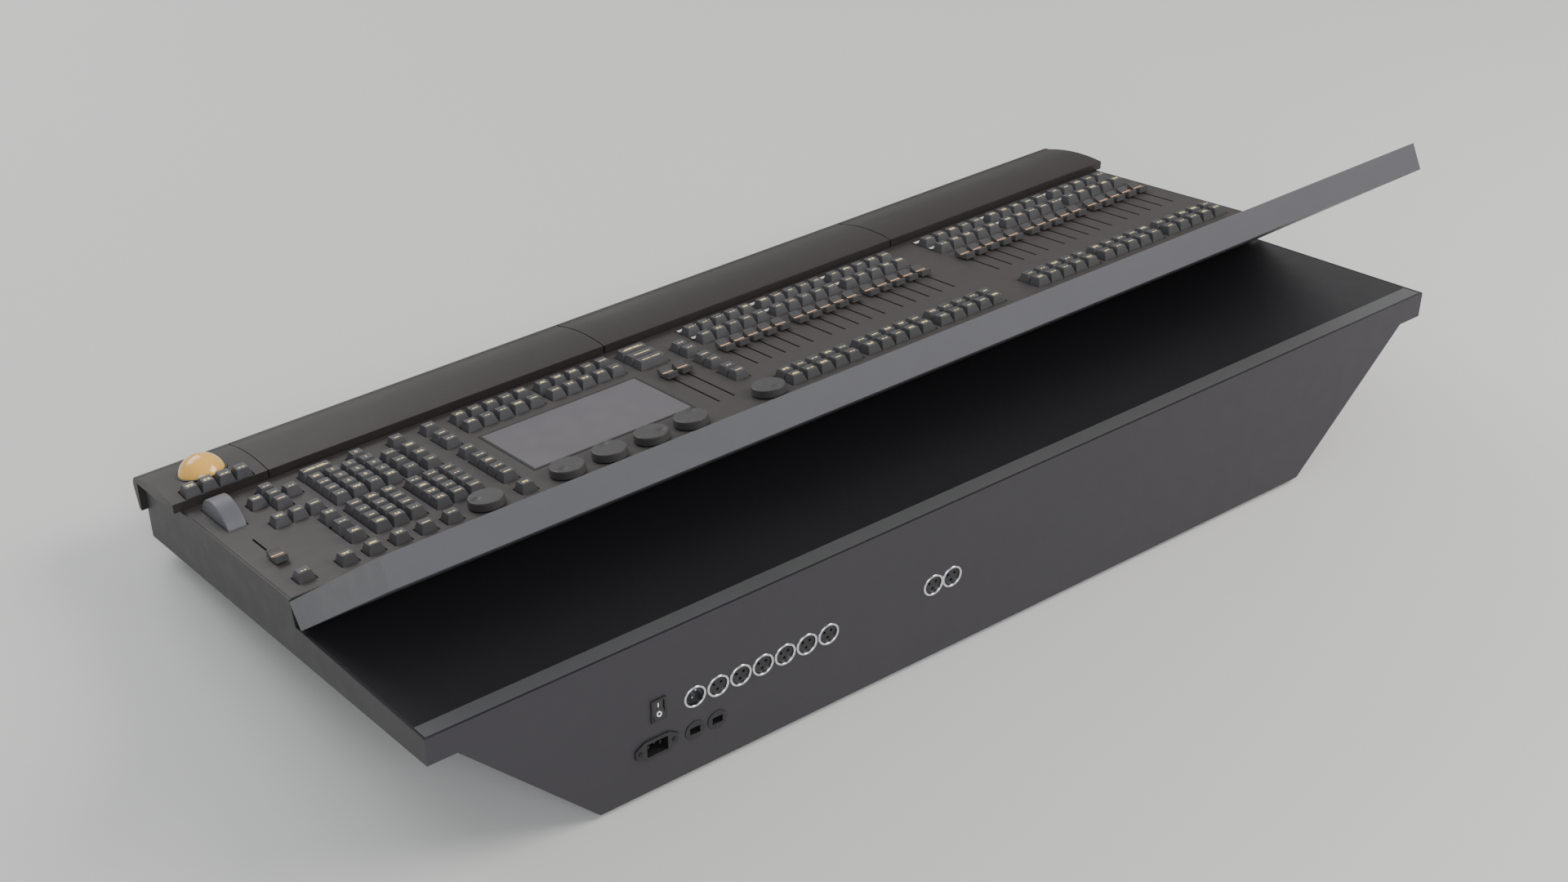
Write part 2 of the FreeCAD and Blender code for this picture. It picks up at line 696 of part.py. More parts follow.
def key_cutter(name, into):
    """The window of the trackball keys, seen from another frame."""
    low = -size("board_drop") - size("board_thickness") - OVERRUN
    item = block_box(name, ball_keys, Size(0), low, size("key_height") - low, Size(0))
    return seen_from(item, ball_key_frame(), into)


def control_panel():
    body = new_body("panel_plate")
    front = -(front_y + wall - riser_top_y) / cosine(panel_slope)
    rear = wall / cosine(panel_slope) + size("fit_clearance")
    heel = rear + wall * tangent(panel_slope - deck_slope)
    prism(body, "panel_sheet", "YZ_Plane", -inner_half, inner_half * 2,
          [(-front, 0), (-rear, 0), (-heel, -wall), (-front, -wall)])
    below = -wall - OVERRUN
    through = wall + OVERRUN * 2
    tools = block_boxes("window", below, through, Size(0))
    for index, place in enumerate(fader_places()):
        tools.append(fader_box(f"slot_{index}", place, size("slot_width"), size("slot_end"),
                               below, through))
    for index, (x, distance, _) in enumerate(ENCODERS):
        tools.append(cylinder(f"shaft_hole_{index}", (x, -distance, below),
                              size("shaft_radius") + size("key_gap"), through, (0, 0, 1)))
    tools.append(wheel_slot())
    x, distance = COMMAND_SCREEN_AT
    gap = size("command_gap")
    width, height = size("command_width") + gap * 2, size("command_height") + gap * 2
    tools.append(box("screen_window", (x - width / 2, -distance - height / 2, below),
                     (width, height, through)))
    tools.append(ball_cutter("cup_hole", PANEL))
    tools.append(key_cutter("ball_key_hole", PANEL))
    part(cut("control_panel", body, fused("panel_openings", tools)), "control_panel", PANEL)


def command_screen():
    x, distance = COMMAND_SCREEN_AT
    width, height = size("command_width"), size("command_height")
    glass = box("command_glass", (x - width / 2, -distance - height / 2, -wall),
                (width, height, wall + size("command_proud")))
    part(group("command_screen", [glass]), "command_screen", PANEL)
    margin = size("module_margin")
    depth = size("command_module_depth")
    module = box("module_block", (x - width / 2 - margin, -distance - height / 2 - margin, -wall - depth),
                 (width + margin * 2, height + margin * 2, depth))
    part(group("command_module_case", [module]), "command_module", PANEL)


def label_strips():
    members = []
    for row, distance in enumerate(STRIP_ROWS):
        for index, start in enumerate(BANK_STARTS):
            low = (start - BANK_PITCH * (BANK_SIZE - 1) / 2 - size("strip_length") / 2,
                   -distance - size("strip_width") / 2, 0)
            members.append(box(f"strip_{row}_{index}", low,
                               (size("strip_length"), size("strip_width"), size("strip_thickness"))))
    part(group("label_strips", members), "label_strips", PANEL)


# ---- keys ----
def keycap(name, extra):
    """A square key: a plunger, a straight skirt in its window, and a tapered crown."""
    body = new_body(name)
    base, stem = size("key_base"), size("key_stem")
    plunger = sketch_on(body, f"{name}_plunger", "XY_Plane", -size("key_skirt") - size("key_stem_length"))
    rectangle(plunger, (0, 0), stem, stem)
    pad(body, f"{name}_stem", plunger, size("key_stem_length"))
    skirt = sketch_on(body, f"{name}_skirt", "XY_Plane", -size("key_skirt"))
    rectangle(skirt, (0, 0), base + extra, base)
    pad(body, f"{name}_wall", skirt, size("key_skirt") + size("key_lip"))
    foot = sketch_on(body, f"{name}_foot", "XY_Plane", size("key_lip"))
    rectangle(foot, (0, 0), base + extra, base)
    top = sketch_on(body, f"{name}_top", "XY_Plane", size("key_lip") + size("key_height"))
    rectangle(top, (0, 0), size("key_top") + extra, size("key_top"))
    crown = body.newObject("PartDesign::AdditiveLoft", f"{name}_crown")
    crown.Profile = foot
    crown.Sections = [top]
    crown.Ruled = True
    return body


def key_groups():
    square = keycap("square_key", Size(0))
    wide = keycap("wide_key", size("wide_key_extra"))
    for label, blocks in KEY_BLOCKS.items():
        places = [place for block in blocks for place in block_places(block)]
        members = copies(f"{label}_cap", square, places)
        wide_places = [place for block in WIDE_KEYS.get(label, ()) for place in block_places(block)]
        members += copies(f"{label}_wide", wide, wide_places)
        part(group(label, members), label, PANEL)
    members = copies("ball_key", square, block_places(ball_keys))
    part(group("trackball_keys", members), "trackball_keys", ball_key_frame())


def key_boards():
    low = -size("board_drop") - size("board_thickness")
    boards = block_boxes("board", low, size("board_thickness"), Size(2))
    part(fused("key_boards", boards), "key_boards", PANEL)


# ---- faders ----
def fader_cap():
    """A saddle-shaped cap on a thin blade that goes down through its slot."""
    body = new_body("fader_cap")
    lift, end, valley = size("cap_lift"), size("cap_end"), size("cap_valley")
    half = size("cap_length") / 2
    shoulder, crest = half - size("cap_lip"), end + size("cap_lip_rise")
    slope = (end + valley) / 2 - size("cap_dip")
    width = size("cap_width")
    prism(body, "cap_saddle", "YZ_Plane", -width / 2, width,
          [(-half, lift), (half, lift), (half, end), (shoulder, crest),
           (0, valley, shoulder / 2, slope), (-shoulder, crest, -shoulder / 2, slope), (-half, end)])
    blade = sketch_on(body, "blade_outline", "XY_Plane", -size("blade_depth"))
    rectangle(blade, (0, 0), size("blade_width"), size("blade_length"))
    pad(body, "cap_blade", blade, size("blade_depth") + lift * 2)
    return body


def faders():
    cap = fader_cap()
    for bank, start in enumerate(BANK_STARTS, start=1):
        places = [(start - BANK_PITCH * index, -FADER_REST, 0) for index in range(BANK_SIZE)]
        label = f"fader_bank_{bank}"
        part(group(label, copies(f"{label}_cap", cap, places)), label, PANEL)
    for label, x in CROSSFADERS:
        part(group(label, copies(f"{label}_cap", cap, [(x, -CROSSFADER_REST, 0)])), label, PANEL)
    x, distance = GRAND_FADER
    part(group("grand_fader", copies("grand_cap", cap, [(x, -distance, 0)])), "grand_fader", PANEL)


def fader_units():
    members = []
    drop = -size("track_drop")
    for index, place in enumerate(fader_places()):
        rail = fader_box(f"track_{index}", place, size("track_width"), size("track_end"),
                         drop - size("track_height"), size("track_height"))
        groove = fader_box(f"groove_{index}", place, size("slot_width"), size("slot_end"),
                           drop - size("track_height") + size("track_floor"), size("track_height"))
        members.append(cut(f"fader_unit_{index}", rail, groove))
    part(group("fader_units", members), "fader_units", PANEL)


# ---- encoders, wheel and trackball ----
def encoder(number, x, distance, direction):
    """A flat disc with a finger dimple, on a shaft."""
    label = f"encoder_{number}"
    body = new_body(label)
    low = size("disc_gap")
    disc = sketch_on(body, f"{label}_disc", "XY_Plane", low)
    circle(disc, (x, -distance), size("disc_radius"))
    pad(body, f"{label}_plate", disc, size("disc_height"))
    shaft = sketch_on(body, f"{label}_shaft", "XY_Plane", low - size("shaft_length"))
    circle(shaft, (x, -distance), size("shaft_radius"))
    pad(body, f"{label}_spindle", shaft, size("shaft_length"))
    turn = math.radians(direction)
    centre = (x + size("dimple_offset") * math.cos(turn), -distance + size("dimple_offset") * math.sin(turn))
    dimple = sketch_on(body, f"{label}_dimple", "XY_Plane",
                       low + size("disc_height") - size("dimple_depth"))
    circle(dimple, centre, size("dimple_radius"))
    pocket(body, f"{label}_finger_dish", dimple, size("dimple_depth") + OVERRUN)
    part(body, label, PANEL)


def encoders():
    units = []
    for number, (x, distance, direction) in enumerate(ENCODERS, start=1):
        encoder(number, x, distance, direction)
        side = size("encoder_box")
        low = -size("encoder_box_drop") - size("encoder_box_height")
        body = box(f"encoder_body_{number}", (x - side / 2, -distance - side / 2, low),
                   (side, side, size("encoder_box_height")))
        bore = cylinder(f"encoder_bore_{number}", (x, -distance, low + OVERRUN),
                        size("shaft_radius") + size("run_clearance"), size("encoder_box_height"), (0, 0, 1))
        units.append(cut(f"encoder_unit_{number}", body, bore))
    part(group("encoder_units", units), "encoder_units", PANEL)


def level_wheel():
    x, distance = WHEEL_AT
    body = new_body("level_wheel")
    width = size("wheel_width")
    sketch = sketch_on(body, "wheel_outline", "YZ_Plane", x - width / 2)
    centre = (-distance, -size("wheel_sink"))
    circle(sketch, centre, size("wheel_radius"))
    circle(sketch, centre, size("axle_radius") + size("run_clearance"))
    pad(body, "wheel_disc", sketch, width)
    part(body, "level_wheel", PANEL)
    hanger = new_body("wheel_axle")
    gap = size("wheel_gap") * 2
    wall_x = size("hanger_wall")
    reach = width / 2 + gap
    half = size("hanger_width") / 2
    deep = -size("wheel_sink") - half
    for name, start in (("hanger_left", x - reach - wall_x), ("hanger_right", x + reach)):
        prism(hanger, name, "YZ_Plane", start, wall_x,
              [(-distance - half, deep), (-distance + half, deep), (-distance + half, -wall),
               (-distance - half, -wall)])
        if name == "hanger_left":
            pin = sketch_on(hanger, "axle_outline", "YZ_Plane", x - reach - wall_x)
            circle(pin, centre, size("axle_radius"))
            pad(hanger, "axle_pin", pin, (reach + wall_x) * 2)
    part(hanger, "wheel_axle", PANEL)


def trackball():
    centre = FreeCAD.Vector(ball_x.number, 0, -size("ball_sink").number)
    ball = doc.addObject("Part::Sphere", "ball")
    bind(ball, "Radius", size("ball_radius"))
    ball.Placement.Base = centre
    part(group("trackball", [ball]), "trackball", ball_frame())
    radius = size("ball_radius") + size("ball_gap")
    depth = size("ball_sink") + radius + size("cup_base")
    cup = cylinder("cup_block", (ball_x, 0, -depth), cup_radius, depth + size("cup_rim"), (0, 0, 1))
    hollow = doc.addObject("Part::Sphere", "cup_hollow")
    bind(hollow, "Radius", radius)
    hollow.Placement.Base = centre
    part(cut("trackball_cup", cup, hollow), "trackball_cup", ball_frame())


# ---- armrest ----
def arm_outline():
    rear, front, slope = arm_chord()
    crown = size("arm_crown").number
    middle = ((rear[0] + front[0]) / 2 - math.sin(slope) * crown,
              (rear[1] + front[1]) / 2 + math.cos(slope) * crown)
    nose_y = front_y - size("arm_nose")
    lip_z = panel_z(front_y) - size("arm_lip_drop")
    nose_z = lip_z + size("arm_lip_drop") * NOSE_SHARE
    round_z = (nose_z + front[1]) / 2
    return [(front_y, lip_z), (front_y, panel_z(front_y)), (rear[0], panel_z(rear[0])), rear,
            (*front, *middle), (nose_y, nose_z, nose_y + size("arm_nose_round"), round_z),
            (nose_y + size("arm_lip_setback"), lip_z)]


def arm_block(name, start, end):
    body = new_body(name)
    prism(body, f"{name}_block", "YZ_Plane", start, end - start, arm_outline())
    return body


def armrest():
    seam = size("arm_seam")
    right_join = arm_module_x - size("arm_right_pad")
    left_join = right_join - size("arm_middle_pad")
    spans = ((-arm_outer, left_join - seam), (left_join, right_join - seam),
             (right_join, arm_module_x - seam))
    pads = [arm_block(f"arm_pad_{index}", start, end) for index, (start, end) in enumerate(spans)]
    part(group("armrest_pads", pads), "armrest_pads", CASE)
    block = arm_block("module_body", arm_module_x, arm_outer)
    tools = fused("module_holes", [ball_cutter("module_bore", CASE), key_cutter("module_window", CASE)])
    part(cut("trackball_module", block, tools), "trackball_module", CASE)


# ---- screen wing ----
def wing_shell():
    body = new_body("wing_tray")
    depth, gap = size("wing_depth"), size("wing_gap")
    thick = size("riser_height") - gap
    radius = size("hinge_radius")
    low_rear = depth - thick * tangent(deck_slope)
    sketch = sketch_on(body, "wing_section", "YZ_Plane", -half_length)
    bend = radius * (1 - math.sqrt(0.5))
    polygon(sketch, [(gap, -thick), (low_rear, -thick), (depth, 0), (axis_y, 0),
                     (gap, axis_z, gap + bend, -bend)])
    pad(body, "wing_slab", sketch, half_length * 2)
    tray = sketch_on(body, "tray_outline", "XY_Plane", -thick + size("wing_wall"))
    rear = depth - size("wing_rim")
    polygon(tray, [(-tray_half, size("wing_bar")), (tray_half, size("wing_bar")), (tray_half, rear),
                   (-tray_half, rear)])
    pocket(body, "tray_hollow", tray, thick)
    clear = size("notch_clearance")
    reach = axis_y + lug_radius + clear
    drop = lug_radius + clear - axis_z
    width = size("lug_width") + clear * 2
    tools = []
    for index, station in enumerate(lug_stations):
        tools.append(box(f"notch_{index}", (station - width / 2, -OVERRUN, -drop),
                         (width, reach + OVERRUN, drop + OVERRUN)))
        tools.append(cylinder(f"pin_hole_{index}", (station - width / 2 - size("pin_grip"), axis_y, axis_z),
                              size("pin_radius") + size("fit_clearance"), width + size("pin_grip") * 2,
                              (1, 0, 0)))
    part(cut("wing_shell", body, fused("wing_notches", tools)), "wing_shell", WING)


def wing_screens():
    low, high = size("wing_bar"), size("wing_depth") - size("wing_rim")
    middle = (low + high) / 2
    bezel = new_body("wing_bezel")
    thick = size("bezel_thickness")
    sketch = sketch_on(bezel, "bezel_outline", "XY_Plane", -thick)
    rectangle(sketch, (0, middle), tray_half * 2, high - low)
    centres = [size("screen_pitch") * step for step in (-1, 0, 1)]
    for centre in centres:
        rectangle(sketch, (centre, middle), size("screen_width"), size("screen_height"))
    pad(bezel, "bezel_plate", sketch, thick)
    part(bezel, "wing_bezel", WING)
    margin, fit = size("module_margin"), size("fit_clearance") * 5
    glass, modules = [], []
    for index, centre in enumerate(centres):
        width, height = size("screen_width") - fit * 2, size("screen_height") - fit * 2
        glass.append(box(f"screen_{index}", (centre - width / 2, middle - height / 2, -thick),
                         (width, height, size("screen_glass"))))
        wide, tall = size("screen_width") + margin * 2, size("screen_height") + margin * 2
        modules.append(box(f"panel_{index}",
                           (centre - wide / 2, middle - tall / 2, -thick - size("module_thickness")),
                           (wide, tall, size("module_thickness"))))
    part(group("wing_screens", glass), "wing_screens", WING)
    part(group("wing_modules", modules), "wing_modules", WING)


def hinge_pins():
    length = size("lug_width") + (size("notch_clearance") + size("pin_grip")) * 2
    pins = [cylinder(f"hinge_pin_{index}", (station - length / 2, axis_y, axis_z), size("pin_radius"),
                     length, (1, 0, 0)) for index, station in enumerate(lug_stations)]
    part(group("hinge_pins", pins), "hinge_pins", WING)


# ---- rear connectors ----
def xlr_ring():
    body = new_body("xlr_ring")
    proud = size("ring_proud")
    flange = sketch_on(body, "ring_flange", "XZ_Plane", -proud)
    circle(flange, (0, 0), size("ring_radius"))
    circle(flange, (0, 0), size("barrel_bore"))
    pad(body, "ring_plate", flange, proud)
    barrel = sketch_on(body, "ring_barrel", "XZ_Plane", 0)
    circle(barrel, (0, 0), size("barrel_radius"))
    circle(barrel, (0, 0), size("barrel_bore"))
    pad(body, "ring_tube", barrel, size("barrel_length"))
    return body


def contact_places():
    """Three contacts, on a circle: two above and one below."""
    circle_radius = size("pin_circle")
    return [(circle_radius * math.cos(math.radians(angle)), circle_radius * math.sin(math.radians(angle)))
            for angle in CONTACT_ANGLES]


def female_core():
    body = new_body("female_core")
    recess = size("core_recess")
    sketch = sketch_on(body, "female_face", "XZ_Plane", recess)
    circle(sketch, (0, 0), size("barrel_bore") - size("core_gap"))
    for place in contact_places():
        circle(sketch, place, size("contact_hole"))
    pad(body, "female_block", sketch, size("barrel_length") - recess)
    return body


def male_core():
    body = new_body("male_core")
    start = size("barrel_length") - size("core_base")
    base = sketch_on(body, "male_base", "XZ_Plane", start)
    circle(base, (0, 0), size("barrel_bore") - size("core_gap"))
    pad(body, "male_disc", base, size("core_base"))
    recess = size("contact_recess")
    for index, place in enumerate(contact_places()):
        contact = sketch_on(body, f"contact_{index}", "XZ_Plane", recess)
        circle(contact, place, size("contact_radius"))
        pad(body, f"contact_pin_{index}", contact, start - recess)
    return body


def network_socket():
    body = new_body("network_socket")
    proud = size("socket_proud")
    face = sketch_on(body, "socket_face", "XZ_Plane", -proud)
    circle(face, (0, 0), size("socket_radius"))
    rectangle(face, (0, 0), size("jack_width"), size("jack_height"))
    pad(body, "socket_block", face, size("jack_depth") + proud)
    back = sketch_on(body, "socket_back", "XZ_Plane", size("jack_depth"))
    circle(back, (0, 0), size("socket_radius"))
    pad(body, "socket_end", back, size("socket_back"))
    return body


def rear_places(table):
    return [(x, 0, (rear_height - drop).number) for x, drop in table]


def connectors():
    ring = xlr_ring()
    part(group("xlr_rings", copies("ring", ring, rear_places(FEMALE_XLR))), "xlr_rings", CASE)
    part(group("xlr_male_ring", copies("male_ring", ring, rear_places(MALE_XLR))), "xlr_male_ring", CASE)
    cores = copies("female", female_core(), rear_places(FEMALE_XLR))
    cores += copies("male", male_core(), rear_places(MALE_XLR))
    part(group("xlr_cores", cores), "xlr_cores", CASE)
    sockets = copies("network", network_socket(), rear_places(NETWORK_AT))
    part(group("network_sockets", sockets), "network_sockets", CASE)


def mains_inlet():
    body = new_body("mains_inlet")
    x, drop = INLET_AT
    z = rear_height - drop
    wide, tall, thick = size("inlet_width"), size("inlet_height"), size("inlet_wall")
    proud = size("flange_proud")
    flange = sketch_on(body, "inlet_flange", "XZ_Plane", -proud)
    neck, waist = wide / 2 + thick, size("flange_waist")
    ear, top = neck + size("flange_ear") - thick, tall / 2 + thick + size("flange_rim")
    polygon(flange, [(x - ear, z - waist), (x - neck, z - top), (x + neck, z - top), (x + ear, z - waist),
                     (x + ear, z + waist), (x + neck, z + top), (x - neck, z + top),
                     (x - ear, z + waist)])
    rectangle(flange, (x, z), wide, tall)
    pad(body, "inlet_plate", flange, proud)
    shroud = sketch_on(body, "inlet_shroud", "XZ_Plane", 0)
    rectangle(shroud, (x, z), wide + thick * 2, tall + thick * 2)
    rectangle(shroud, (x, z), wide, tall)
    pad(body, "inlet_walls", shroud, size("inlet_depth"))
    back = sketch_on(body, "inlet_back", "XZ_Plane", size("inlet_depth"))
    rectangle(back, (x, z), wide + thick * 2, tall + thick * 2)
    pad(body, "inlet_base", back, thick)
    recess = size("blade_recess")
    for index, (blade_x, blade_z) in enumerate(INLET_BLADES):
        blade = sketch_on(body, f"blade_{index}", "XZ_Plane", recess)
        rectangle(blade, (x + blade_x, z + blade_z), size("inlet_blade_width"),
                  size("inlet_blade_height"))
        pad(body, f"blade_pin_{index}", blade, size("inlet_depth") - recess)
    part(body, "mains_inlet", CASE)


def power_switch():
    x, drop = SWITCH_AT
    z = rear_height - drop
    wide, tall, thick = size("switch_width"), size("switch_height"), size("switch_wall")
    frame = new_body("switch_frame")
    proud, edge = size("switch_proud"), (thick + size("switch_rim")) * 2
    lip = sketch_on(frame, "switch_lip", "XZ_Plane", -proud)
    rectangle(lip, (x, z), wide + edge, tall + edge)
    rectangle(lip, (x, z), wide, tall)
    pad(frame, "switch_flange", lip, proud)
    shroud = sketch_on(frame, "switch_shroud", "XZ_Plane", 0)
    rectangle(shroud, (x, z), wide + thick * 2, tall + thick * 2)
    rectangle(shroud, (x, z), wide, tall)
    pad(frame, "switch_walls", shroud, size("switch_depth"))
    back = sketch_on(frame, "switch_back", "XZ_Plane", size("switch_depth"))
    rectangle(back, (x, z), wide + thick * 2, tall + thick * 2)
    pad(frame, "switch_base", back, thick)
    gap = size("rocker_gap")
    seat = sketch_on(frame, "trunnion_seat", "YZ_Plane", x - wide / 2 - size("trunnion_length") - gap)
    circle(seat, (-size("rocker_pivot"), z), size("trunnion_radius") + size("run_clearance"))
    pocket(frame, "trunnion_seats", seat, wide + (size("trunnion_length") + gap) * 2)
    part(frame, "switch_frame", CASE)
    rocker = new_body("power_rocker")
    crest, half = size("rocker_crest"), rocker_half
    deep, skirt, slant = size("rocker_depth"), size("rocker_skirt"), half - size("rocker_chamfer")
    prism(rocker, "rocker_block", "YZ_Plane", x - wide / 2 + gap, wide - gap * 2,
          [(-deep, -slant), (-skirt, -half), (crest, -half), (crest - size("rocker_dip"), 0),
           (crest, half), (-skirt, half), (-deep, slant)])
    reach = wide / 2 + size("trunnion_length")
    trunnion = sketch_on(rocker, "trunnion_outline", "YZ_Plane", x - reach)
    circle(trunnion, (0, 0), size("trunnion_radius"))
    pad(rocker, "trunnions", trunnion, reach * 2)
    pivot = (shift_y - size("rocker_pivot"), size("foot_height") + z, size("rocker_tilt"))
    part(rocker, "power_rocker", pivot)


# ---- electronics in the tub ----
def electronics():
    bottom, standoff, side = size("tub_wall"), size("standoff"), size("standoff_side")
    x, y = MAIN_BOARD_AT
    length, width = size("main_board_length"), size("main_board_width")
    board = box("board_sheet", (x, y, bottom + standoff), (length, width, size("board_thickness")))
    inset = size("standoff_inset")
    corners = [(leg_x, leg_y) for leg_x in (x + inset, x + length - inset - side)
               for leg_y in (y + inset, y + width - inset - side)]
    legs = [box(f"board_leg_{index}", (*corner, bottom), (side, side, standoff))
            for index, corner in enumerate(corners)]
    sink_side = size("heat_sink_side")
    sink = box("heat_sink", (*HEAT_SINK_AT, bottom + standoff + size("board_thickness")),
               (sink_side, sink_side, size("heat_sink_height")))
    supply = box("supply_case", (*SUPPLY_AT, bottom),
                 (size("supply_length"), size("supply_width"), size("supply_height")))
    main_board = fused("main_board", [board, *legs, sink])
    part(group("tub_electronics", [main_board, supply]), "tub_electronics", CASE)


def build():
    rear_panel()
    side_panel("side_panel_right", inner_half)
    side_panel("side_panel_left", -half_length)
    front_panel()
    base_tub()
    slab_floor()
    deck()
    hinge_rail()
    feet()
    control_panel()
    command_screen()
    label_strips()
    key_groups()
    key_boards()
    faders()
    fader_units()
    encoders()
    level_wheel()
    trackball()
    armrest()
    wing_shell()
    wing_screens()
    hinge_pins()
    connectors()
    mains_inlet()
    power_switch()
    electronics()


def check_and_write():
    doc.recompute()
    for item in doc.Objects:
        if "Invalid" in item.State or "Error" in item.State:
            raise RuntimeError(f"{item.Name} failed: {item.State}")
    for item in parts:
        if item.Shape.isNull() or not item.Shape.isValid():
            raise RuntimeError(f"{item.Label} has no valid shape")
        if item.Shape.Volume <= 0:
            raise RuntimeError(f"{item.Label} has no volume")
    os.makedirs("parts", exist_ok=True)
    for item in parts:
        item.Shape.exportStep(os.path.join("parts", f"{item.Label}.step"))
    print(f"{len(parts)} sub-parts written")


build()
check_and_write()
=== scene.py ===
import json
import math
import random

import bmesh
import bpy
from mathutils import Matrix, Vector


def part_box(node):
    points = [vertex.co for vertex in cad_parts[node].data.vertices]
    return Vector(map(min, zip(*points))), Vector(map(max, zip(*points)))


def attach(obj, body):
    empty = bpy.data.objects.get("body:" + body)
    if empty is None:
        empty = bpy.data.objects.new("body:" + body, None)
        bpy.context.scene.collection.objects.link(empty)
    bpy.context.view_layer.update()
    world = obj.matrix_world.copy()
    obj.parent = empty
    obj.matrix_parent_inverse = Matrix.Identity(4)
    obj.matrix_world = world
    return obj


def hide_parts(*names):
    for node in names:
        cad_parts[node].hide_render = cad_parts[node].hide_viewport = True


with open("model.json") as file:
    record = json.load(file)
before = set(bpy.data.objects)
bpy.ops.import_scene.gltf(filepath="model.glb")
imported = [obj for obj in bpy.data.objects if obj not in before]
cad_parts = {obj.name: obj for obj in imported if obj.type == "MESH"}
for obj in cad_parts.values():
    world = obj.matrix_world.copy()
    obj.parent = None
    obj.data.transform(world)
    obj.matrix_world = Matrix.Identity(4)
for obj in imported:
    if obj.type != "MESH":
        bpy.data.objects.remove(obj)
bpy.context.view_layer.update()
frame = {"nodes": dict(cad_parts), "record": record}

# Looks for the lighting control desk. Lengths are metres, +Z is up, +Y is the rear and +X is the
# operator's right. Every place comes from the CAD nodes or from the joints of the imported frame.
record = frame["record"]
body_of_node = {node: body for body, nodes in record["behaviour"]["bodies"].items() for node in nodes}
joints = {joint["name"]: joint for joint in record["behaviour"]["joints"]}
MM = 0.001
FLAT_TURN = math.radians(1.0)
SHARP_TURN = math.radians(30.0)


# ---------------------------------------------------------------- shader groups
def new_group(name, inputs, outputs):
    """An empty shader group with float inputs (name, value) and named outputs (name, socket type)."""
    group = bpy.data.node_groups.new(name, "ShaderNodeTree")
    for label, value in inputs:
        socket = group.interface.new_socket(label, in_out="INPUT", socket_type="NodeSocketFloat")
        socket.default_value = value
    for label, kind in outputs:
        group.interface.new_socket(label, in_out="OUTPUT", socket_type=kind)
    return group, group.nodes.new("NodeGroupInput"), group.nodes.new("NodeGroupOutput")


def add_node(tree, kind, settings=(), values=(), links=()):
    """Adds a node with its settings, its socket values and its incoming links."""
    node = tree.nodes.new(kind)
    for name, value in dict(settings).items():
        setattr(node, name, value)
    for name, value in dict(values).items():
        node.inputs[name].default_value = value
    for name, source in dict(links).items():
        tree.links.new(source, node.inputs[name])
    return node


def scaled(tree, coordinates, value, factors=(1, 1, 1)):
    """Object coordinates multiplied by a group input and by a fixed stretch."""
    stretch = add_node(tree, "ShaderNodeVectorMath", {"operation": "MULTIPLY"},
                       {1: factors}, {0: coordinates})
    return add_node(tree, "ShaderNodeVectorMath", {"operation": "SCALE"}, {},
                    {0: stretch.outputs[0], "Scale": value}).outputs[0]


def paint_group():
    """Textured powder coat: an orange-peel height, and slow and fine mottling masks."""
    group, given, out = new_group("powder_coat", [("Grain per metre", 900.0), ("Mottle per metre", 9.0)],
                                  [("Height", "NodeSocketFloat"), ("Mottle", "NodeSocketFloat"),
                                   ("Speckle", "NodeSocketFloat")])
    place = group.nodes.new("ShaderNodeTexCoord").outputs["Object"]
    peel = add_node(group, "ShaderNodeTexNoise", {}, {"Scale": 1.0, "Detail": 2.0, "Roughness": 0.45},
                    {"Vector": scaled(group, place, given.outputs[0])})
    cells = add_node(group, "ShaderNodeTexVoronoi", {"feature": "SMOOTH_F1"},
                     {"Scale": 0.6, "Smoothness": 0.6}, {"Vector": scaled(group, place, given.outputs[0])})
    height = add_node(group, "ShaderNodeMath", {"operation": "MULTIPLY_ADD"}, {1: 0.6},
                      {0: cells.outputs["Distance"], 2: peel.outputs["Fac"]})
    mottle = add_node(group, "ShaderNodeTexNoise", {}, {"Scale": 1.0, "Detail": 5.0, "Roughness": 0.6},
                      {"Vector": scaled(group, place, given.outputs[1])})
    speck = add_node(group, "ShaderNodeTexNoise", {}, {"Scale": 1.9, "Detail": 1.0},
                     {"Vector": scaled(group, place, given.outputs[0])})
    group.links.new(height.outputs[0], out.inputs["Height"])
    group.links.new(mottle.outputs["Fac"], out.inputs["Mottle"])
    group.links.new(speck.outputs["Fac"], out.inputs["Speckle"])
    return group


def grain_group():
    """Fine grain drawn out along the desk's length, in broad and narrow streaks."""
    group, given, out = new_group("long_grain", [("Streaks per metre", 700.0)],
                                  [("Height", "NodeSocketFloat"), ("Streak", "NodeSocketFloat"),
                                   ("Pore", "NodeSocketFloat")])
    place = group.nodes.new("ShaderNodeTexCoord").outputs["Object"]
    fine = add_node(group, "ShaderNodeTexNoise", {}, {"Scale": 1.0, "Detail": 4.0, "Roughness": 0.7},
                    {"Vector": scaled(group, place, given.outputs[0], (0.035, 1.0, 1.0))})
    broad = add_node(group, "ShaderNodeTexNoise", {}, {"Scale": 0.16, "Detail": 3.0, "Roughness": 0.6},
                     {"Vector": scaled(group, place, given.outputs[0], (0.06, 1.0, 1.0))})
    pores = add_node(group, "ShaderNodeTexVoronoi", {}, {"Scale": 1.4},
                     {"Vector": scaled(group, place, given.outputs[0], (0.12, 1.0, 1.0))})
    height = add_node(group, "ShaderNodeMath", {"operation": "MULTIPLY_ADD"}, {1: 0.5},
                      {0: pores.outputs["Distance"], 2: fine.outputs["Fac"]})
    group.links.new(height.outputs[0], out.inputs["Height"])
    group.links.new(broad.outputs["Fac"], out.inputs["Streak"])
    group.links.new(pores.outputs["Distance"], out.inputs["Pore"])
    return group


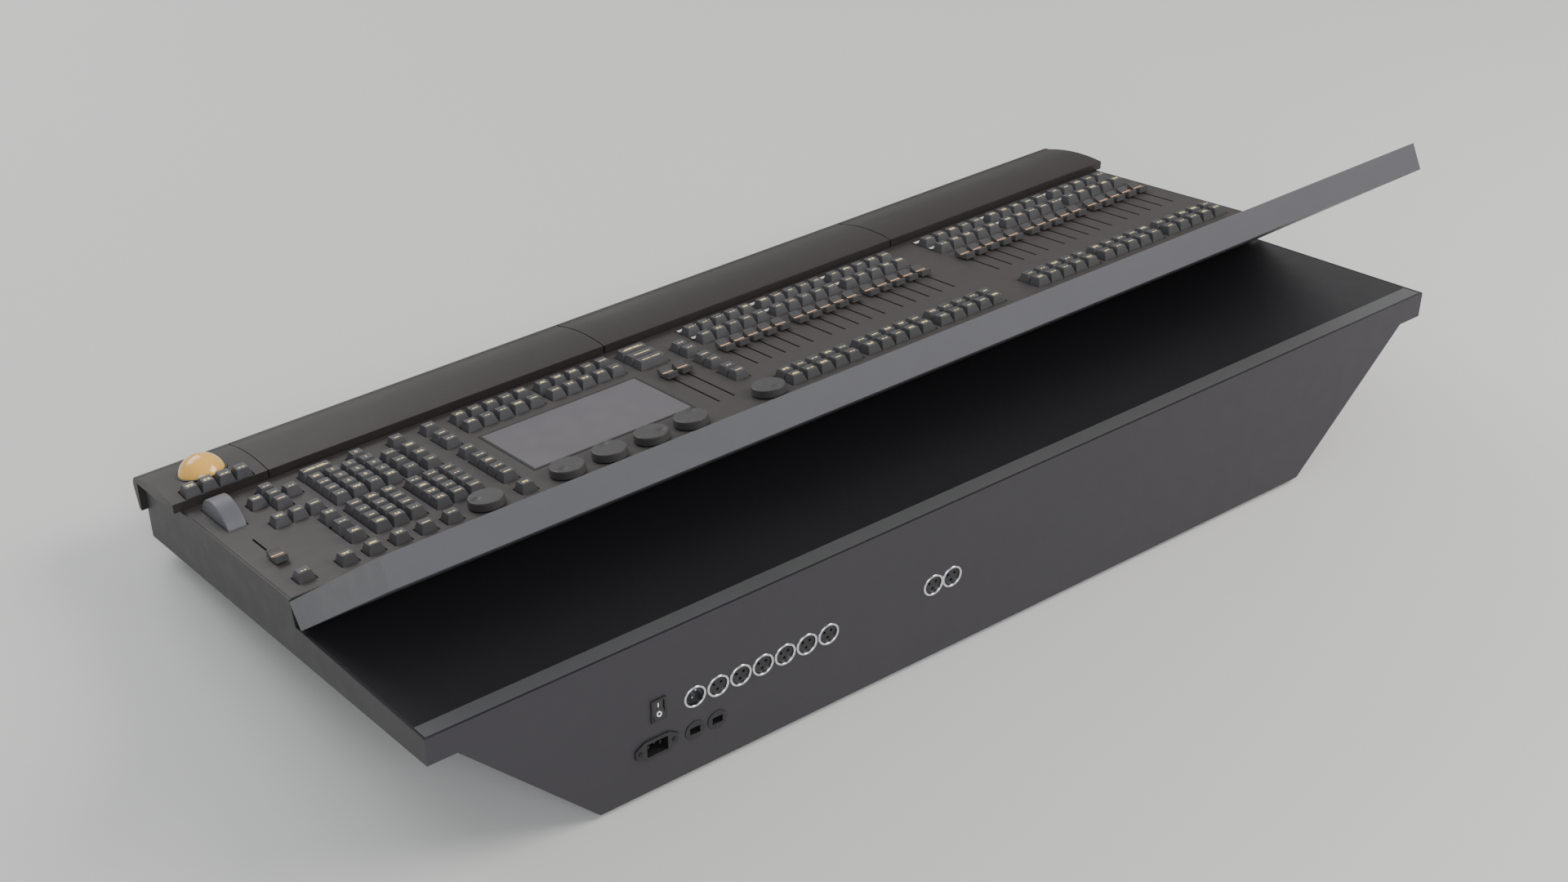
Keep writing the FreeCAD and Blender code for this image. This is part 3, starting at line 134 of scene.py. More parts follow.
def handling_group():
    """Where hands have polished or greased a surface: a soft, uneven mask."""
    group, given, out = new_group("handling", [("Marks per metre", 40.0)], [("Mask", "NodeSocketFloat")])
    place = group.nodes.new("ShaderNodeTexCoord").outputs["Object"]
    smear = add_node(group, "ShaderNodeTexNoise", {}, {"Scale": 1.0, "Detail": 6.0, "Distortion": 0.3},
                     {"Vector": scaled(group, place, given.outputs[0])})
    ramp = add_node(group, "ShaderNodeMapRange", {}, {"From Min": 0.42, "From Max": 0.68},
                    {"Value": smear.outputs["Fac"]})
    group.links.new(ramp.outputs[0], out.inputs["Mask"])
    return group


POWDER = paint_group()
GRAIN = grain_group()
HANDLING = handling_group()


# ---------------------------------------------------------------- materials
def shell(name, roughness, metallic=0.0, coat=0.0):
    """A material with one Principled shader. Its even values are set on the shader's own sockets."""
    material = bpy.data.materials.new(name)
    material.use_nodes = True
    shader = material.node_tree.nodes["Principled BSDF"]
    shader.inputs["Roughness"].default_value = roughness
    shader.inputs["Metallic"].default_value = metallic
    shader.inputs["Coat Weight"].default_value = coat
    return material, material.node_tree, shader


def use_group(tree, group, **values):
    node = add_node(tree, "ShaderNodeGroup", {"node_tree": group})
    for socket, value in zip(node.inputs, values.values()):
        socket.default_value = value
    return node


def between(tree, mask, low, high):
    """A number that runs from low to high with a mask."""
    node = add_node(tree, "ShaderNodeMapRange", {}, {"To Min": low, "To Max": high}, {"Value": mask})
    return node.outputs[0]


def blend_colour(tree, mask, first, second):
    node = add_node(tree, "ShaderNodeMix", {"data_type": "RGBA"}, {}, {0: mask})
    node.inputs[6].default_value = (*first, 1)
    node.inputs[7].default_value = (*second, 1)
    return node.outputs[2]


def bump(tree, shader, height, distance, strength=1.0):
    node = add_node(tree, "ShaderNodeBump", {}, {"Distance": distance, "Strength": strength},
                    {"Height": height})
    tree.links.new(node.outputs["Normal"], shader.inputs["Normal"])


def painted(name, dark, light, roughness=0.5, metallic=0.0, grain=900.0, depth=0.00006):
    """Textured paint with slow mottling and a slightly polished, uneven gloss."""
    material, tree, shader = shell(name, roughness, metallic)
    coat = use_group(tree, POWDER, grain=grain, mottle=9.0)
    marks = use_group(tree, HANDLING, marks=45.0)
    tree.links.new(blend_colour(tree, coat.outputs["Mottle"], dark, light), shader.inputs["Base Color"])
    tree.links.new(between(tree, marks.outputs[0], roughness + 0.015, roughness - 0.025),
                   shader.inputs["Roughness"])
    bump(tree, shader, coat.outputs["Height"], depth)
    return material


def moulded(name, dark, light, roughness=0.45, grain=2200.0, depth=0.00002, coat=0.0, marks=90.0):
    """Moulded plastic with a fine spark texture, rubbed smoother where fingers touch it."""
    material, tree, shader = shell(name, roughness, 0.0, coat)
    texture = use_group(tree, POWDER, grain=grain, mottle=60.0)
    wear = use_group(tree, HANDLING, marks=marks)
    tree.links.new(blend_colour(tree, texture.outputs["Speckle"], dark, light), shader.inputs["Base Color"])
    tree.links.new(between(tree, wear.outputs[0], roughness + 0.07, roughness - 0.12),
                   shader.inputs["Roughness"])
    bump(tree, shader, texture.outputs["Height"], depth)
    return material


def grained(name, dark, light, pore):
    """Armrest skin: a dark, fine grain along the desk, with pores and polished patches."""
    material, tree, shader = shell(name, 0.55)
    grain = use_group(tree, GRAIN, streaks=620.0)
    marks = use_group(tree, HANDLING, marks=9.0)
    base = blend_colour(tree, grain.outputs["Streak"], dark, light)
    deep = between(tree, grain.outputs["Pore"], 0.55, 0.0)
    node = add_node(tree, "ShaderNodeMix", {"data_type": "RGBA"}, {}, {0: deep, 6: base})
    node.inputs[7].default_value = (*pore, 1)
    tree.links.new(node.outputs[2], shader.inputs["Base Color"])
    tree.links.new(between(tree, marks.outputs[0], 0.52, 0.46), shader.inputs["Roughness"])
    bump(tree, shader, grain.outputs["Height"], 0.00012, 0.8)
    return material


def metal(name, colour, shade, roughness, stretch=1.0):
    """Bare or plated metal with fine scratches in its gloss."""
    material, tree, shader = shell(name, roughness, 1.0)
    texture = use_group(tree, GRAIN, streaks=1500.0 * stretch)
    tree.links.new(blend_colour(tree, texture.outputs["Streak"], colour, shade), shader.inputs["Base Color"])
    tree.links.new(between(tree, texture.outputs["Height"], roughness * 0.7, roughness * 1.5),
                   shader.inputs["Roughness"])
    return material


def display(name, dark, light, roughness=0.16, coat=0.5):
    """A switched-off display behind glass: a smooth face with faint finger marks."""
    material, tree, shader = shell(name, roughness, 0.0, coat)
    marks = use_group(tree, HANDLING, marks=26.0)
    tree.links.new(blend_colour(tree, marks.outputs[0], dark, light), shader.inputs["Base Color"])
    tree.links.new(between(tree, marks.outputs[0], roughness, roughness + 0.05), shader.inputs["Roughness"])
    return material


def print_with_painted_glow(name, colour, shade, strength):
    """Printed marks with a faint painted glow: their emission is painted light, as nothing lights them from
    behind.
    """
    material, tree, shader = shell(name, 0.45)
    texture = use_group(tree, POWDER, grain=1800.0, mottle=120.0)
    tree.links.new(blend_colour(tree, texture.outputs["Mottle"], colour, shade), shader.inputs["Base Color"])
    # Painted glow: emission makes the marks shine with no lamp behind them.
    shader.inputs["Emission Color"].default_value = (*colour, 1)
    shader.inputs["Emission Strength"].default_value = strength
    return material


def resin(name):
    """Cast resin of the trackball: glossy, warm and slightly translucent, with a faint swirl."""
    material, tree, shader = shell(name, 0.12, 0.0, 0.6)
    swirl = use_group(tree, POWDER, grain=90.0, mottle=34.0)
    marks = use_group(tree, HANDLING, marks=120.0)
    tree.links.new(blend_colour(tree, swirl.outputs["Mottle"], (0.9, 0.47, 0.075), (0.98, 0.6, 0.14)),
                   shader.inputs["Base Color"])
    tree.links.new(between(tree, marks.outputs[0], 0.16, 0.3), shader.inputs["Roughness"])
    shader.inputs["Subsurface Weight"].default_value = 0.3
    shader.inputs["Subsurface Radius"].default_value = (0.012, 0.006, 0.002)
    return material


CASE_PAINT = painted("case paint", (0.026, 0.024, 0.026), (0.03, 0.027, 0.03), 0.5)
# Riser paint: its colour is darker than the case paint as painted shade, for the little light the riser
# catches behind the wing.
RISER_SHADE_PAINT = painted("riser paint", (0.016, 0.015, 0.016), (0.019, 0.018, 0.019), 0.78)
REAR_PAINT = painted("rear panel paint", (0.027, 0.024, 0.03), (0.031, 0.028, 0.034), 0.47)
PANEL_PAINT = painted("control panel paint", (0.048, 0.042, 0.041), (0.054, 0.048, 0.046), 0.52)
# Deck paint: dark grey paint, made a little darker than the case with painted shade for the wing's shadow
# over the deck.
DECK_PAINT_AND_SHADE = painted("deck paint", (0.022, 0.021, 0.024), (0.026, 0.025, 0.028), 0.42)
WING_PAINT = painted("wing paint", (0.084, 0.084, 0.096), (0.092, 0.092, 0.104), 0.42)
BEZEL_PAINT = painted("wing bezel paint", (0.014, 0.014, 0.015), (0.017, 0.017, 0.018), 0.4)
# Trim strip: painted several times lighter than the deck, a painted highlight for the light its rear-facing
# slope catches.
LIT_TRIM_PAINT = painted("trim strip", (0.135, 0.137, 0.14), (0.15, 0.152, 0.156), 0.4, 0.2)
ARM_SKIN = grained("armrest skin", (0.027, 0.022, 0.021), (0.036, 0.03, 0.028), (0.015, 0.012, 0.011))
KEY_PLASTIC = moulded("key plastic", (0.062, 0.061, 0.066), (0.074, 0.073, 0.078), 0.42)
CAP_PLASTIC = moulded("fader cap plastic", (0.064, 0.061, 0.062), (0.078, 0.075, 0.076), 0.38)
ENCODER_PLASTIC = moulded("encoder rubber", (0.058, 0.055, 0.056), (0.07, 0.067, 0.068), 0.5)
WHEEL_PLASTIC = moulded("wheel plastic", (0.12, 0.12, 0.14), (0.14, 0.14, 0.16), 0.38, marks=60.0)
SOCKET_PLASTIC = moulded("socket plastic", (0.011, 0.011, 0.012), (0.018, 0.018, 0.019), 0.4)
ROCKER_PLASTIC = moulded("rocker plastic", (0.013, 0.013, 0.014), (0.02, 0.02, 0.021), 0.25, coat=0.3)
FOOT_RUBBER = moulded("foot rubber", (0.012, 0.012, 0.012), (0.02, 0.02, 0.02), 0.8, 900.0, 0.00008)
MODULE_PLASTIC = moulded("module plastic", (0.02, 0.02, 0.021), (0.03, 0.03, 0.031), 0.6)
CHROME = metal("plated ring", (0.82, 0.82, 0.84), (0.7, 0.7, 0.73), 0.1)
STEEL = metal("bare steel", (0.5, 0.5, 0.5), (0.4, 0.4, 0.41), 0.3)
DARK_STEEL = metal("blackened screws", (0.06, 0.06, 0.065), (0.04, 0.04, 0.042), 0.35)
GOLD = metal("contact gold", (0.85, 0.6, 0.22), (0.75, 0.5, 0.17), 0.22)
BOARD = moulded("circuit board", (0.004, 0.014, 0.008), (0.008, 0.024, 0.014), 0.35)
COMMAND_FACE = display("command display", (0.118, 0.11, 0.122), (0.132, 0.124, 0.136), 0.3, 0.15)
WING_FACE = display("wing display", (0.006, 0.007, 0.009), (0.012, 0.013, 0.016))
BALL_RESIN = resin("ball resin")
# The four marks below glow faintly by emission: painted light.
LEGEND = print_with_painted_glow("key legends", (0.95, 0.74, 0.3), (0.8, 0.6, 0.22), 0.5)
CAP_LINE = print_with_painted_glow("fader line", (0.95, 0.5, 0.22), (0.8, 0.4, 0.16), 0.35)
LABEL = print_with_painted_glow("label film", (0.78, 0.78, 0.76), (0.7, 0.7, 0.68), 0.05)
MARK = print_with_painted_glow("switch marks", (0.85, 0.85, 0.85), (0.75, 0.75, 0.75), 0.15)

NODE_MATERIAL = {
    "base_tub": REAR_PAINT, "rear_panel": REAR_PAINT, "slab_floor": CASE_PAINT,
    "side_panel_left": CASE_PAINT, "side_panel_right": CASE_PAINT, "front_panel": CASE_PAINT,
    "hinge_rail": RISER_SHADE_PAINT, "control_panel": PANEL_PAINT, "deck_plate": DECK_PAINT_AND_SHADE,
    "deck_trim": LIT_TRIM_PAINT, "wing_shell": WING_PAINT, "wing_bezel": BEZEL_PAINT,
    "armrest_pads": ARM_SKIN, "trackball_module": ARM_SKIN, "trackball_cup": SOCKET_PLASTIC,
    "xlr_cores": SOCKET_PLASTIC, "network_sockets": SOCKET_PLASTIC, "mains_inlet": SOCKET_PLASTIC,
    "switch_frame": SOCKET_PLASTIC, "power_rocker": ROCKER_PLASTIC, "feet": FOOT_RUBBER,
    "xlr_rings": CHROME, "xlr_male_ring": CHROME, "command_screen": SOCKET_PLASTIC,
    "wing_screens": WING_FACE, "label_strips": SOCKET_PLASTIC, "fader_units": STEEL,
    "encoder_units": STEEL, "wheel_axle": STEEL, "hinge_pins": STEEL, "tub_electronics": STEEL,
    "command_module": MODULE_PLASTIC, "wing_modules": MODULE_PLASTIC, "key_boards": BOARD,
}


# ---------------------------------------------------------------- pieces
def make_piece(mesh_maker, name, body, materials, replaced=(), smooth=SHARP_TURN):
    """Turns a bmesh into a named piece that rides on a body."""
    mesh = bpy.data.meshes.new(name)
    mesh_maker.to_mesh(mesh)
    mesh_maker.free()
    for material in materials:
        mesh.materials.append(material)
    mesh.polygons.foreach_set("use_smooth", [True] * len(mesh.polygons))
    mesh.set_sharp_from_angle(angle=smooth)
    piece = bpy.data.objects.new(name, mesh)
    bpy.context.collection.objects.link(piece)
    piece.modifiers.new("flat_faces_stay_flat", "WEIGHTED_NORMAL").keep_sharp = True
    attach(piece, body)
    if replaced:
        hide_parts(*replaced)
    return piece


def merged_copy(node):
    """A closed copy of a CAD node's mesh, with its flat faces joined up."""
    copy = bmesh.new()
    copy.from_mesh(frame["nodes"][node].data)
    bmesh.ops.remove_doubles(copy, verts=copy.verts, dist=0.002 * MM)
    bmesh.ops.dissolve_limit(copy, angle_limit=FLAT_TURN, verts=copy.verts, edges=copy.edges,
                             delimit=set())
    return copy


def softened(node, width, segments=2):
    """A CAD node again, with its sharp edges rounded as paint or moulding rounds them."""
    copy = merged_copy(node)
    sharp = [edge for edge in copy.edges
             if len(edge.link_faces) == 2 and edge.calc_face_angle(0) > SHARP_TURN]
    bmesh.ops.bevel(copy, geom=sharp, offset=width, segments=segments, profile=0.5, affect="EDGES",
                    clamp_overlap=True, material=-1)
    return make_piece(copy, f"{node}_soft", body_of_node[node], [NODE_MATERIAL[node]],
                      [node])


def tilt_of(axis):
    """A frame's tilt about X, from the direction of its +Z or of its +Y."""
    return math.atan2(-axis[1], axis[2]) if abs(axis[2]) > abs(axis[1]) else math.atan2(axis[2], axis[1])


def islands(node, tilt):
    """Each separate solid of a node as (low corner, high corner) in axes tilted about X."""
    copy = bmesh.new()
    copy.from_mesh(frame["nodes"][node].data)
    bmesh.ops.remove_doubles(copy, verts=copy.verts, dist=0.002 * MM)
    bmesh.ops.rotate(copy, verts=copy.verts, matrix=Matrix.Rotation(-tilt, 3, "X"))
    unseen = set(copy.verts)
    found = []
    while unseen:
        group = [unseen.pop()]
        for vert in group:
            for edge in vert.link_edges:
                other = edge.other_vert(vert)
                if other in unseen:
                    unseen.discard(other)
                    group.append(other)
        points = [vert.co for vert in group]
        low = Vector([min(point[i] for point in points) for i in range(3)])
        high = Vector([max(point[i] for point in points) for i in range(3)])
        found.append((low, high))
    copy.free()
    return sorted(found, key=lambda item: (round(item[0].y / MM), item[0].x))


def stamp(target, source, matrix, material=None):
    """Adds a copy of a mesh to a bmesh, moved by a matrix."""
    before = len(target.verts)
    faces_before = len(target.faces)
    target.from_mesh(source)
    target.verts.ensure_lookup_table()
    target.faces.ensure_lookup_table()
    bmesh.ops.transform(target, matrix=matrix, verts=target.verts[before:])
    if material is not None:
        for face in target.faces[faces_before:]:
            face.material_index = material


def as_mesh(source, name):
    mesh = bpy.data.meshes.new(name)
    source.to_mesh(mesh)
    source.free()
    return mesh


def block(size, centre, bevel=0.0, segments=2):
    """A box with rounded edges, as a bmesh."""
    made = bmesh.new()
    bmesh.ops.create_cube(made, size=1.0, matrix=Matrix.Translation(centre) @ Matrix.Diagonal((*size, 1)))
    if bevel:
        bmesh.ops.bevel(made, geom=made.edges[:], offset=bevel, segments=segments, profile=0.5,
                        affect="EDGES", clamp_overlap=True, material=-1)
    return made


# ---------------------------------------------------------------- tilts and heights
PANEL_TILT = tilt_of(joints["encoder_1_turn"]["axis"])
BALL_KEY_TILT = tilt_of([-value for value in joints["trackball_keys_press"]["axis"]])
KEY_HEIGHT = 9.6 * MM
KEY_TOP = 13 * MM
KEY_SKIRT = 4 * MM
KEY_LIP = 0.5 * MM
KEY_DISH = 0.2 * MM
KEY_CORNER = 0.9 * MM
KEY_RIM = 0.45 * MM
LEGEND_HEIGHT = KEY_HEIGHT - KEY_DISH + 0.03 * MM
KEY_GROUPS = [name for name in body_of_node if name.endswith("_keys")]
FADERS = [name for name in body_of_node if name.startswith("fader_bank_") or name in
          ("grand_fader", "crossfader_a", "crossfader_b")]


# ---------------------------------------------------------------- keys
NUMERAL_SIZE = 7.5 * MM
LEGEND_REAR = 2.4 * MM
LEGEND_LINE_PITCH = 2.3 * MM
LEGEND_BAR = 1.4 * MM
WORD_GAP = 0.7 * MM
WEB_ROOM = (4 * MM, 15 * MM)
KEY_CLEARANCE = 1 * MM
PANEL_SHEET = 3 * MM
PANEL_TOP = islands("control_panel", PANEL_TILT)[0][1].z - 0.03 * MM


def key_mesh(width, depth):
    """A keycap about its own middle, at the panel's surface: skirt, tapered crown and a shallow dish."""
    cap = bmesh.new()
    taper = depth - KEY_TOP
    foot = Matrix.Translation((0, 0, -KEY_SKIRT)) @ Matrix.Diagonal((width, depth, 1, 1))
    bmesh.ops.create_grid(cap, x_segments=1, y_segments=1, size=0.5, matrix=foot)
    top = cap.faces[:]
    for rise, shrink in ((KEY_SKIRT + KEY_LIP, 0), (KEY_HEIGHT - KEY_LIP, taper)):
        made = bmesh.ops.extrude_face_region(cap, geom=top)
        bmesh.ops.delete(cap, geom=top, context="FACES_ONLY")
        top = [item for item in made["geom"] if isinstance(item, bmesh.types.BMFace)]
        verts = [item for item in made["geom"] if isinstance(item, bmesh.types.BMVert)]
        bmesh.ops.translate(cap, verts=verts, vec=(0, 0, rise))
        for vert in verts:
            vert.co.x -= math.copysign(shrink / 2, vert.co.x) if shrink else 0
            vert.co.y -= math.copysign(shrink / 2, vert.co.y) if shrink else 0
    corners = [edge for edge in cap.edges if abs(edge.verts[0].co.z - edge.verts[1].co.z) > KEY_LIP]
    bmesh.ops.bevel(cap, geom=corners, offset=KEY_CORNER, segments=1, profile=0.5, affect="EDGES",
                    clamp_overlap=True, material=-1)
    high = max(vert.co.z for vert in cap.verts)
    rim = [edge for edge in cap.edges if min(vert.co.z for vert in edge.verts) > high - 0.1 * MM]
    bmesh.ops.bevel(cap, geom=rim, offset=KEY_RIM, segments=2, profile=0.5, affect="EDGES",
                    clamp_overlap=True, material=-1)
    crown = max(cap.faces, key=lambda face: face.calc_center_median().z)
    bmesh.ops.inset_region(cap, faces=[crown], thickness=0.8 * MM, depth=-KEY_DISH)
    bmesh.ops.recalc_face_normals(cap, faces=cap.faces)
    return as_mesh(cap, "keycap")


def bar(width, height, centre):
    """A thin printed bar, face up."""
    made = bmesh.new()
    bmesh.ops.create_grid(made, x_segments=1, y_segments=1, size=0.5,
                          matrix=Matrix.Translation(centre) @ Matrix.Diagonal((width, height, 1, 1)))
    return as_mesh(made, "bar")


def digit_mesh(character):
    """A flat numeral, centred, a little under 6 mm high."""
    curve = bpy.data.curves.new("numeral", "FONT")
    curve.body = character
    curve.size = NUMERAL_SIZE
    curve.resolution_u = 2
    curve.align_x, curve.align_y = "CENTER", "CENTER"
    holder = bpy.data.objects.new("numeral", curve)
    mesh = bpy.data.meshes.new_from_object(holder)
    bpy.data.objects.remove(holder)
    return mesh


def add_legend(target, matrix, width, chance):
    """One or two lines of short bars, in place of words, near the rear edge of a key's top."""
    for line in range(chance.choice((1, 1, 2))):
        length = (width - 4 * MM) * chance.uniform(0.6, 0.98)
        y = LEGEND_REAR - line * LEGEND_LINE_PITCH
        shift = length / 4 + WORD_GAP / 2
        halves = ((-shift, length / 2 - WORD_GAP), (shift, length / 2 - WORD_GAP))
        for x, long in halves if chance.random() < 0.45 else ((0, length),):
            stamp(target, bar(long, LEGEND_BAR, (x, y, LEGEND_HEIGHT)), matrix, 1)


def key_group(node):
    """Every cap of a key group, with numerals on the keypad and bars on the rest."""
    tilt = BALL_KEY_TILT if node == "trackball_keys" else PANEL_TILT
    turn = Matrix.Rotation(tilt, 4, "X")
    caps = bmesh.new()
    chance = random.Random(node)
    seats = islands(node, tilt)
    pads = keypad_numerals(seats) if node == "numeric_keys" else {}
    shapes = {}
    for index, (low, high) in enumerate(seats):
        width, depth = high.x - low.x, high.y - low.y
        size = (round(width / MM, 1), round(depth / MM, 1))
        if size not in shapes:
            shapes[size] = key_mesh(width, depth)
        centre = Vector(((low.x + high.x) / 2, (low.y + high.y) / 2, high.z - KEY_HEIGHT))
        matrix = turn @ Matrix.Translation(centre)
        stamp(caps, shapes[size], matrix, 0)
        if index in pads:
            lift = Matrix.Translation((0, 0, LEGEND_HEIGHT))
            stamp(caps, digit_mesh(pads[index]), matrix @ lift, 1)
        else:
            add_legend(caps, matrix, width - depth + KEY_TOP, chance)
    return make_piece(caps, f"{node}_caps", node, [KEY_PLASTIC, LEGEND], [node])


def key_webs():
    """Panel webs between keys that stand apart from each other in a row."""
    made = bmesh.new()
    for node in KEY_GROUPS:
        if node == "trackball_keys":
            continue
        seats = islands(node, PANEL_TILT)
        for (low, high), (next_low, next_high) in zip(seats, seats[1:]):
            room = next_low.x - high.x
            if abs(low.y - next_low.y) < MM and WEB_ROOM[0] < room < WEB_ROOM[1]:
                left, right = high.x + KEY_CLEARANCE, next_low.x - KEY_CLEARANCE
                size = (right - left, high.y - low.y + 4 * MM, PANEL_SHEET)
                centre = ((left + right) / 2, (low.y + high.y) / 2, PANEL_TOP - PANEL_SHEET / 2)
                stamp(made, as_mesh(block(size, centre), "web"), Matrix.Identity(4))
    bmesh.ops.rotate(made, verts=made.verts, matrix=Matrix.Rotation(PANEL_TILT, 3, "X"))
    make_piece(made, "key_webs", "desk", [PANEL_PAINT])


def keypad_numerals(seats):
    """Which seat of the keypad carries which numeral: 0 in the front row, and 1 to 9 behind it."""
    rows = sorted({round(low.y / MM) for low, high in seats})
    row_of = [rows.index(round(low.y / MM)) for low, high in seats]
    numerals = {row_of.index(0): "0"}
    for row in (1, 2, 3):
        first = row_of.index(row)
        for column in range(3):
            numerals[first + column] = str((row - 1) * 3 + column + 1)
    return numerals


# ---------------------------------------------------------------- faders
CAP_LENGTH = 24 * MM
CAP_WIDTH = 14.5 * MM
CAP_END = 8.6 * MM
CAP_VALLEY = 5 * MM
CAP_LIFT = 1 * MM
CAP_CREST_AT = 11 * MM
CAP_STEPS = 14


def cap_mesh():
    """A saddle-shaped fader cap about its middle: high ends, a hollow between, tapered sides."""
    cap = bmesh.new()
    half = CAP_LENGTH / 2
    outline = [(-half, CAP_LIFT), (half, CAP_LIFT), (half, CAP_END - 0.4 * MM)]
    for step in range(CAP_STEPS + 1):
        y = CAP_CREST_AT * (1 - 2 * step / CAP_STEPS)
        outline.append((y, CAP_VALLEY + (CAP_END - CAP_VALLEY) * (abs(y) / CAP_CREST_AT) ** 1.6))
    outline.append((-half, CAP_END - 0.4 * MM))
    face = cap.faces.new([cap.verts.new((-CAP_WIDTH / 2, y, z)) for y, z in outline])
    made = bmesh.ops.extrude_face_region(cap, geom=[face])
    moved = [item for item in made["geom"] if isinstance(item, bmesh.types.BMVert)]
    bmesh.ops.translate(cap, verts=moved, vec=(CAP_WIDTH, 0, 0))
    for vert in cap.verts:
        vert.co.x *= 1 - 0.1 * (vert.co.z - CAP_LIFT) / (CAP_END - CAP_LIFT)
    bmesh.ops.recalc_face_normals(cap, faces=cap.faces)
    sharp = [edge for edge in cap.edges if edge.calc_face_angle(0) > SHARP_TURN]
    bmesh.ops.bevel(cap, geom=sharp, offset=0.45 * MM, segments=2, profile=0.5, affect="EDGES",
                    clamp_overlap=True, material=-1)
    return as_mesh(cap, "fader_cap")


def fader_group(node, cap):
    turn = Matrix.Rotation(PANEL_TILT, 4, "X")
    caps = bmesh.new()
    line = as_mesh(block((CAP_WIDTH * 0.93, 1.6 * MM, 0.5 * MM), (0, 0, CAP_VALLEY - 0.12 * MM)), "line")
    blade = as_mesh(block((1.2 * MM, 8 * MM, 11.5 * MM), (0, 0, -4.25 * MM)), "blade")
    for low, high in islands(node, PANEL_TILT):
        centre = Vector(((low.x + high.x) / 2, (low.y + high.y) / 2, high.z - CAP_END))
        matrix = turn @ Matrix.Translation(centre)
        stamp(caps, cap, matrix, 0)
        stamp(caps, line, matrix, 1)
        stamp(caps, blade, matrix, 2)
    return make_piece(caps, f"{node}_caps", node, [CAP_PLASTIC, CAP_LINE, STEEL], [node])


# ---------------------------------------------------------------- encoders, wheel and ball
DISC_HEIGHT = 9.2 * MM
DISC_SEGMENTS = 96
DISH_SEGMENTS = 48
DISH_STEPS = 6
DISH_RADIUS = 6.2 * MM
DISH_DEPTH = 1.8 * MM


def ring(target, count, radius, centre, height):
    """A ring of vertices joined by edges."""
    made = bmesh.ops.create_circle(target, segments=count, radius=radius,
                                   matrix=Matrix.Translation((*centre, height)))
    verts = made["verts"]
    return [edge for edge in target.edges if all(vert in verts for vert in edge.verts)]


def encoder_piece(node):
    """A flat disc with drafted sides, a rounded top edge and a round finger dish near its rim."""
    low, high = islands(node, PANEL_TILT)[0]
    centre = Vector(((low.x + high.x) / 2, (low.y + high.y) / 2, high.z))
    radius, height = (high.x - low.x) / 2, DISC_HEIGHT
    disc = bmesh.new()
    levels = ((radius - 0.6 * MM, -height), (radius, -height + 0.6 * MM), (radius, -height + 1.6 * MM),
              (radius - 0.7 * MM, -1.5 * MM), (radius - 0.85 * MM, -0.8 * MM),
              (radius - 1.15 * MM, -0.3 * MM), (radius - 1.7 * MM, 0))
    sides = [ring(disc, DISC_SEGMENTS, size, (0, 0), z) for size, z in levels]
    dish = dish_offset(node, centre)
    bowl = [ring(disc, DISH_SEGMENTS, DISH_RADIUS, dish, 0)]
    for step in range(1, DISH_STEPS):
        share = math.cos(math.pi / 2 * step / DISH_STEPS)
        bowl.append(ring(disc, DISH_SEGMENTS, DISH_RADIUS * share, dish, -DISH_DEPTH * (1 - share ** 2)))
    for loops in (sides, bowl):
        for first, second in zip(loops, loops[1:]):
            bmesh.ops.bridge_loops(disc, edges=first + second)
    bmesh.ops.triangle_fill(disc, use_beauty=True, use_dissolve=False, edges=sides[-1] + bowl[0])
    bmesh.ops.contextual_create(disc, geom=bowl[-1])
    bmesh.ops.contextual_create(disc, geom=sides[0])
    bmesh.ops.recalc_face_normals(disc, faces=disc.faces)
    shaft = as_mesh(cylinder_mesh(3 * MM, 13 * MM, (0, 0, -height - 6.5 * MM)), "shaft")
    stamp(disc, shaft, Matrix.Identity(4), 1)
    bmesh.ops.transform(disc, verts=disc.verts,
                        matrix=Matrix.Rotation(PANEL_TILT, 4, "X") @ Matrix.Translation(centre))
    return make_piece(disc, f"{node}_disc", node, [ENCODER_PLASTIC, STEEL], [node],
                      math.radians(20))


def cylinder_mesh(radius, length, centre, segments=32):
    made = bmesh.new()
    bmesh.ops.create_cone(made, cap_ends=True, segments=segments, radius1=radius, radius2=radius,
                          depth=length, matrix=Matrix.Translation(centre))
    return made


def dish_offset(node, centre):
    """Where a disc's finger dish is, from the low flat face inside its top."""
    copy = bmesh.new()
    copy.from_mesh(frame["nodes"][node].data)
    bmesh.ops.rotate(copy, verts=copy.verts, matrix=Matrix.Rotation(-PANEL_TILT, 3, "X"))
    floor = [vert.co for vert in copy.verts if 1 * MM < centre.z - vert.co.z < 2 * MM]
    x = (min(point.x for point in floor) + max(point.x for point in floor)) / 2 - centre.x
    y = (min(point.y for point in floor) + max(point.y for point in floor)) / 2 - centre.y
    copy.free()
    return x, y


def spun(profile, segments):
    """A closed solid of revolution about X, from (x, radius) points that end where they start."""
    made = bmesh.new()
    verts = [made.verts.new((x, radius, 0)) for x, radius in profile]
    edges = [made.edges.new(pair) for pair in zip(verts, verts[1:])]
    bmesh.ops.spin(made, geom=verts + edges, cent=(0, 0, 0), axis=(1, 0, 0), angle=math.tau,
                   steps=segments, use_merge=True)
    bmesh.ops.remove_doubles(made, verts=made.verts, dist=0.001 * MM)
    bmesh.ops.recalc_face_normals(made, faces=made.faces)
    return made


WHEEL_ROUND = 1.6 * MM
WHEEL_BORE = 4.05 * MM
HUB_RADIUS = 14 * MM
HUB_DEPTH = 1 * MM


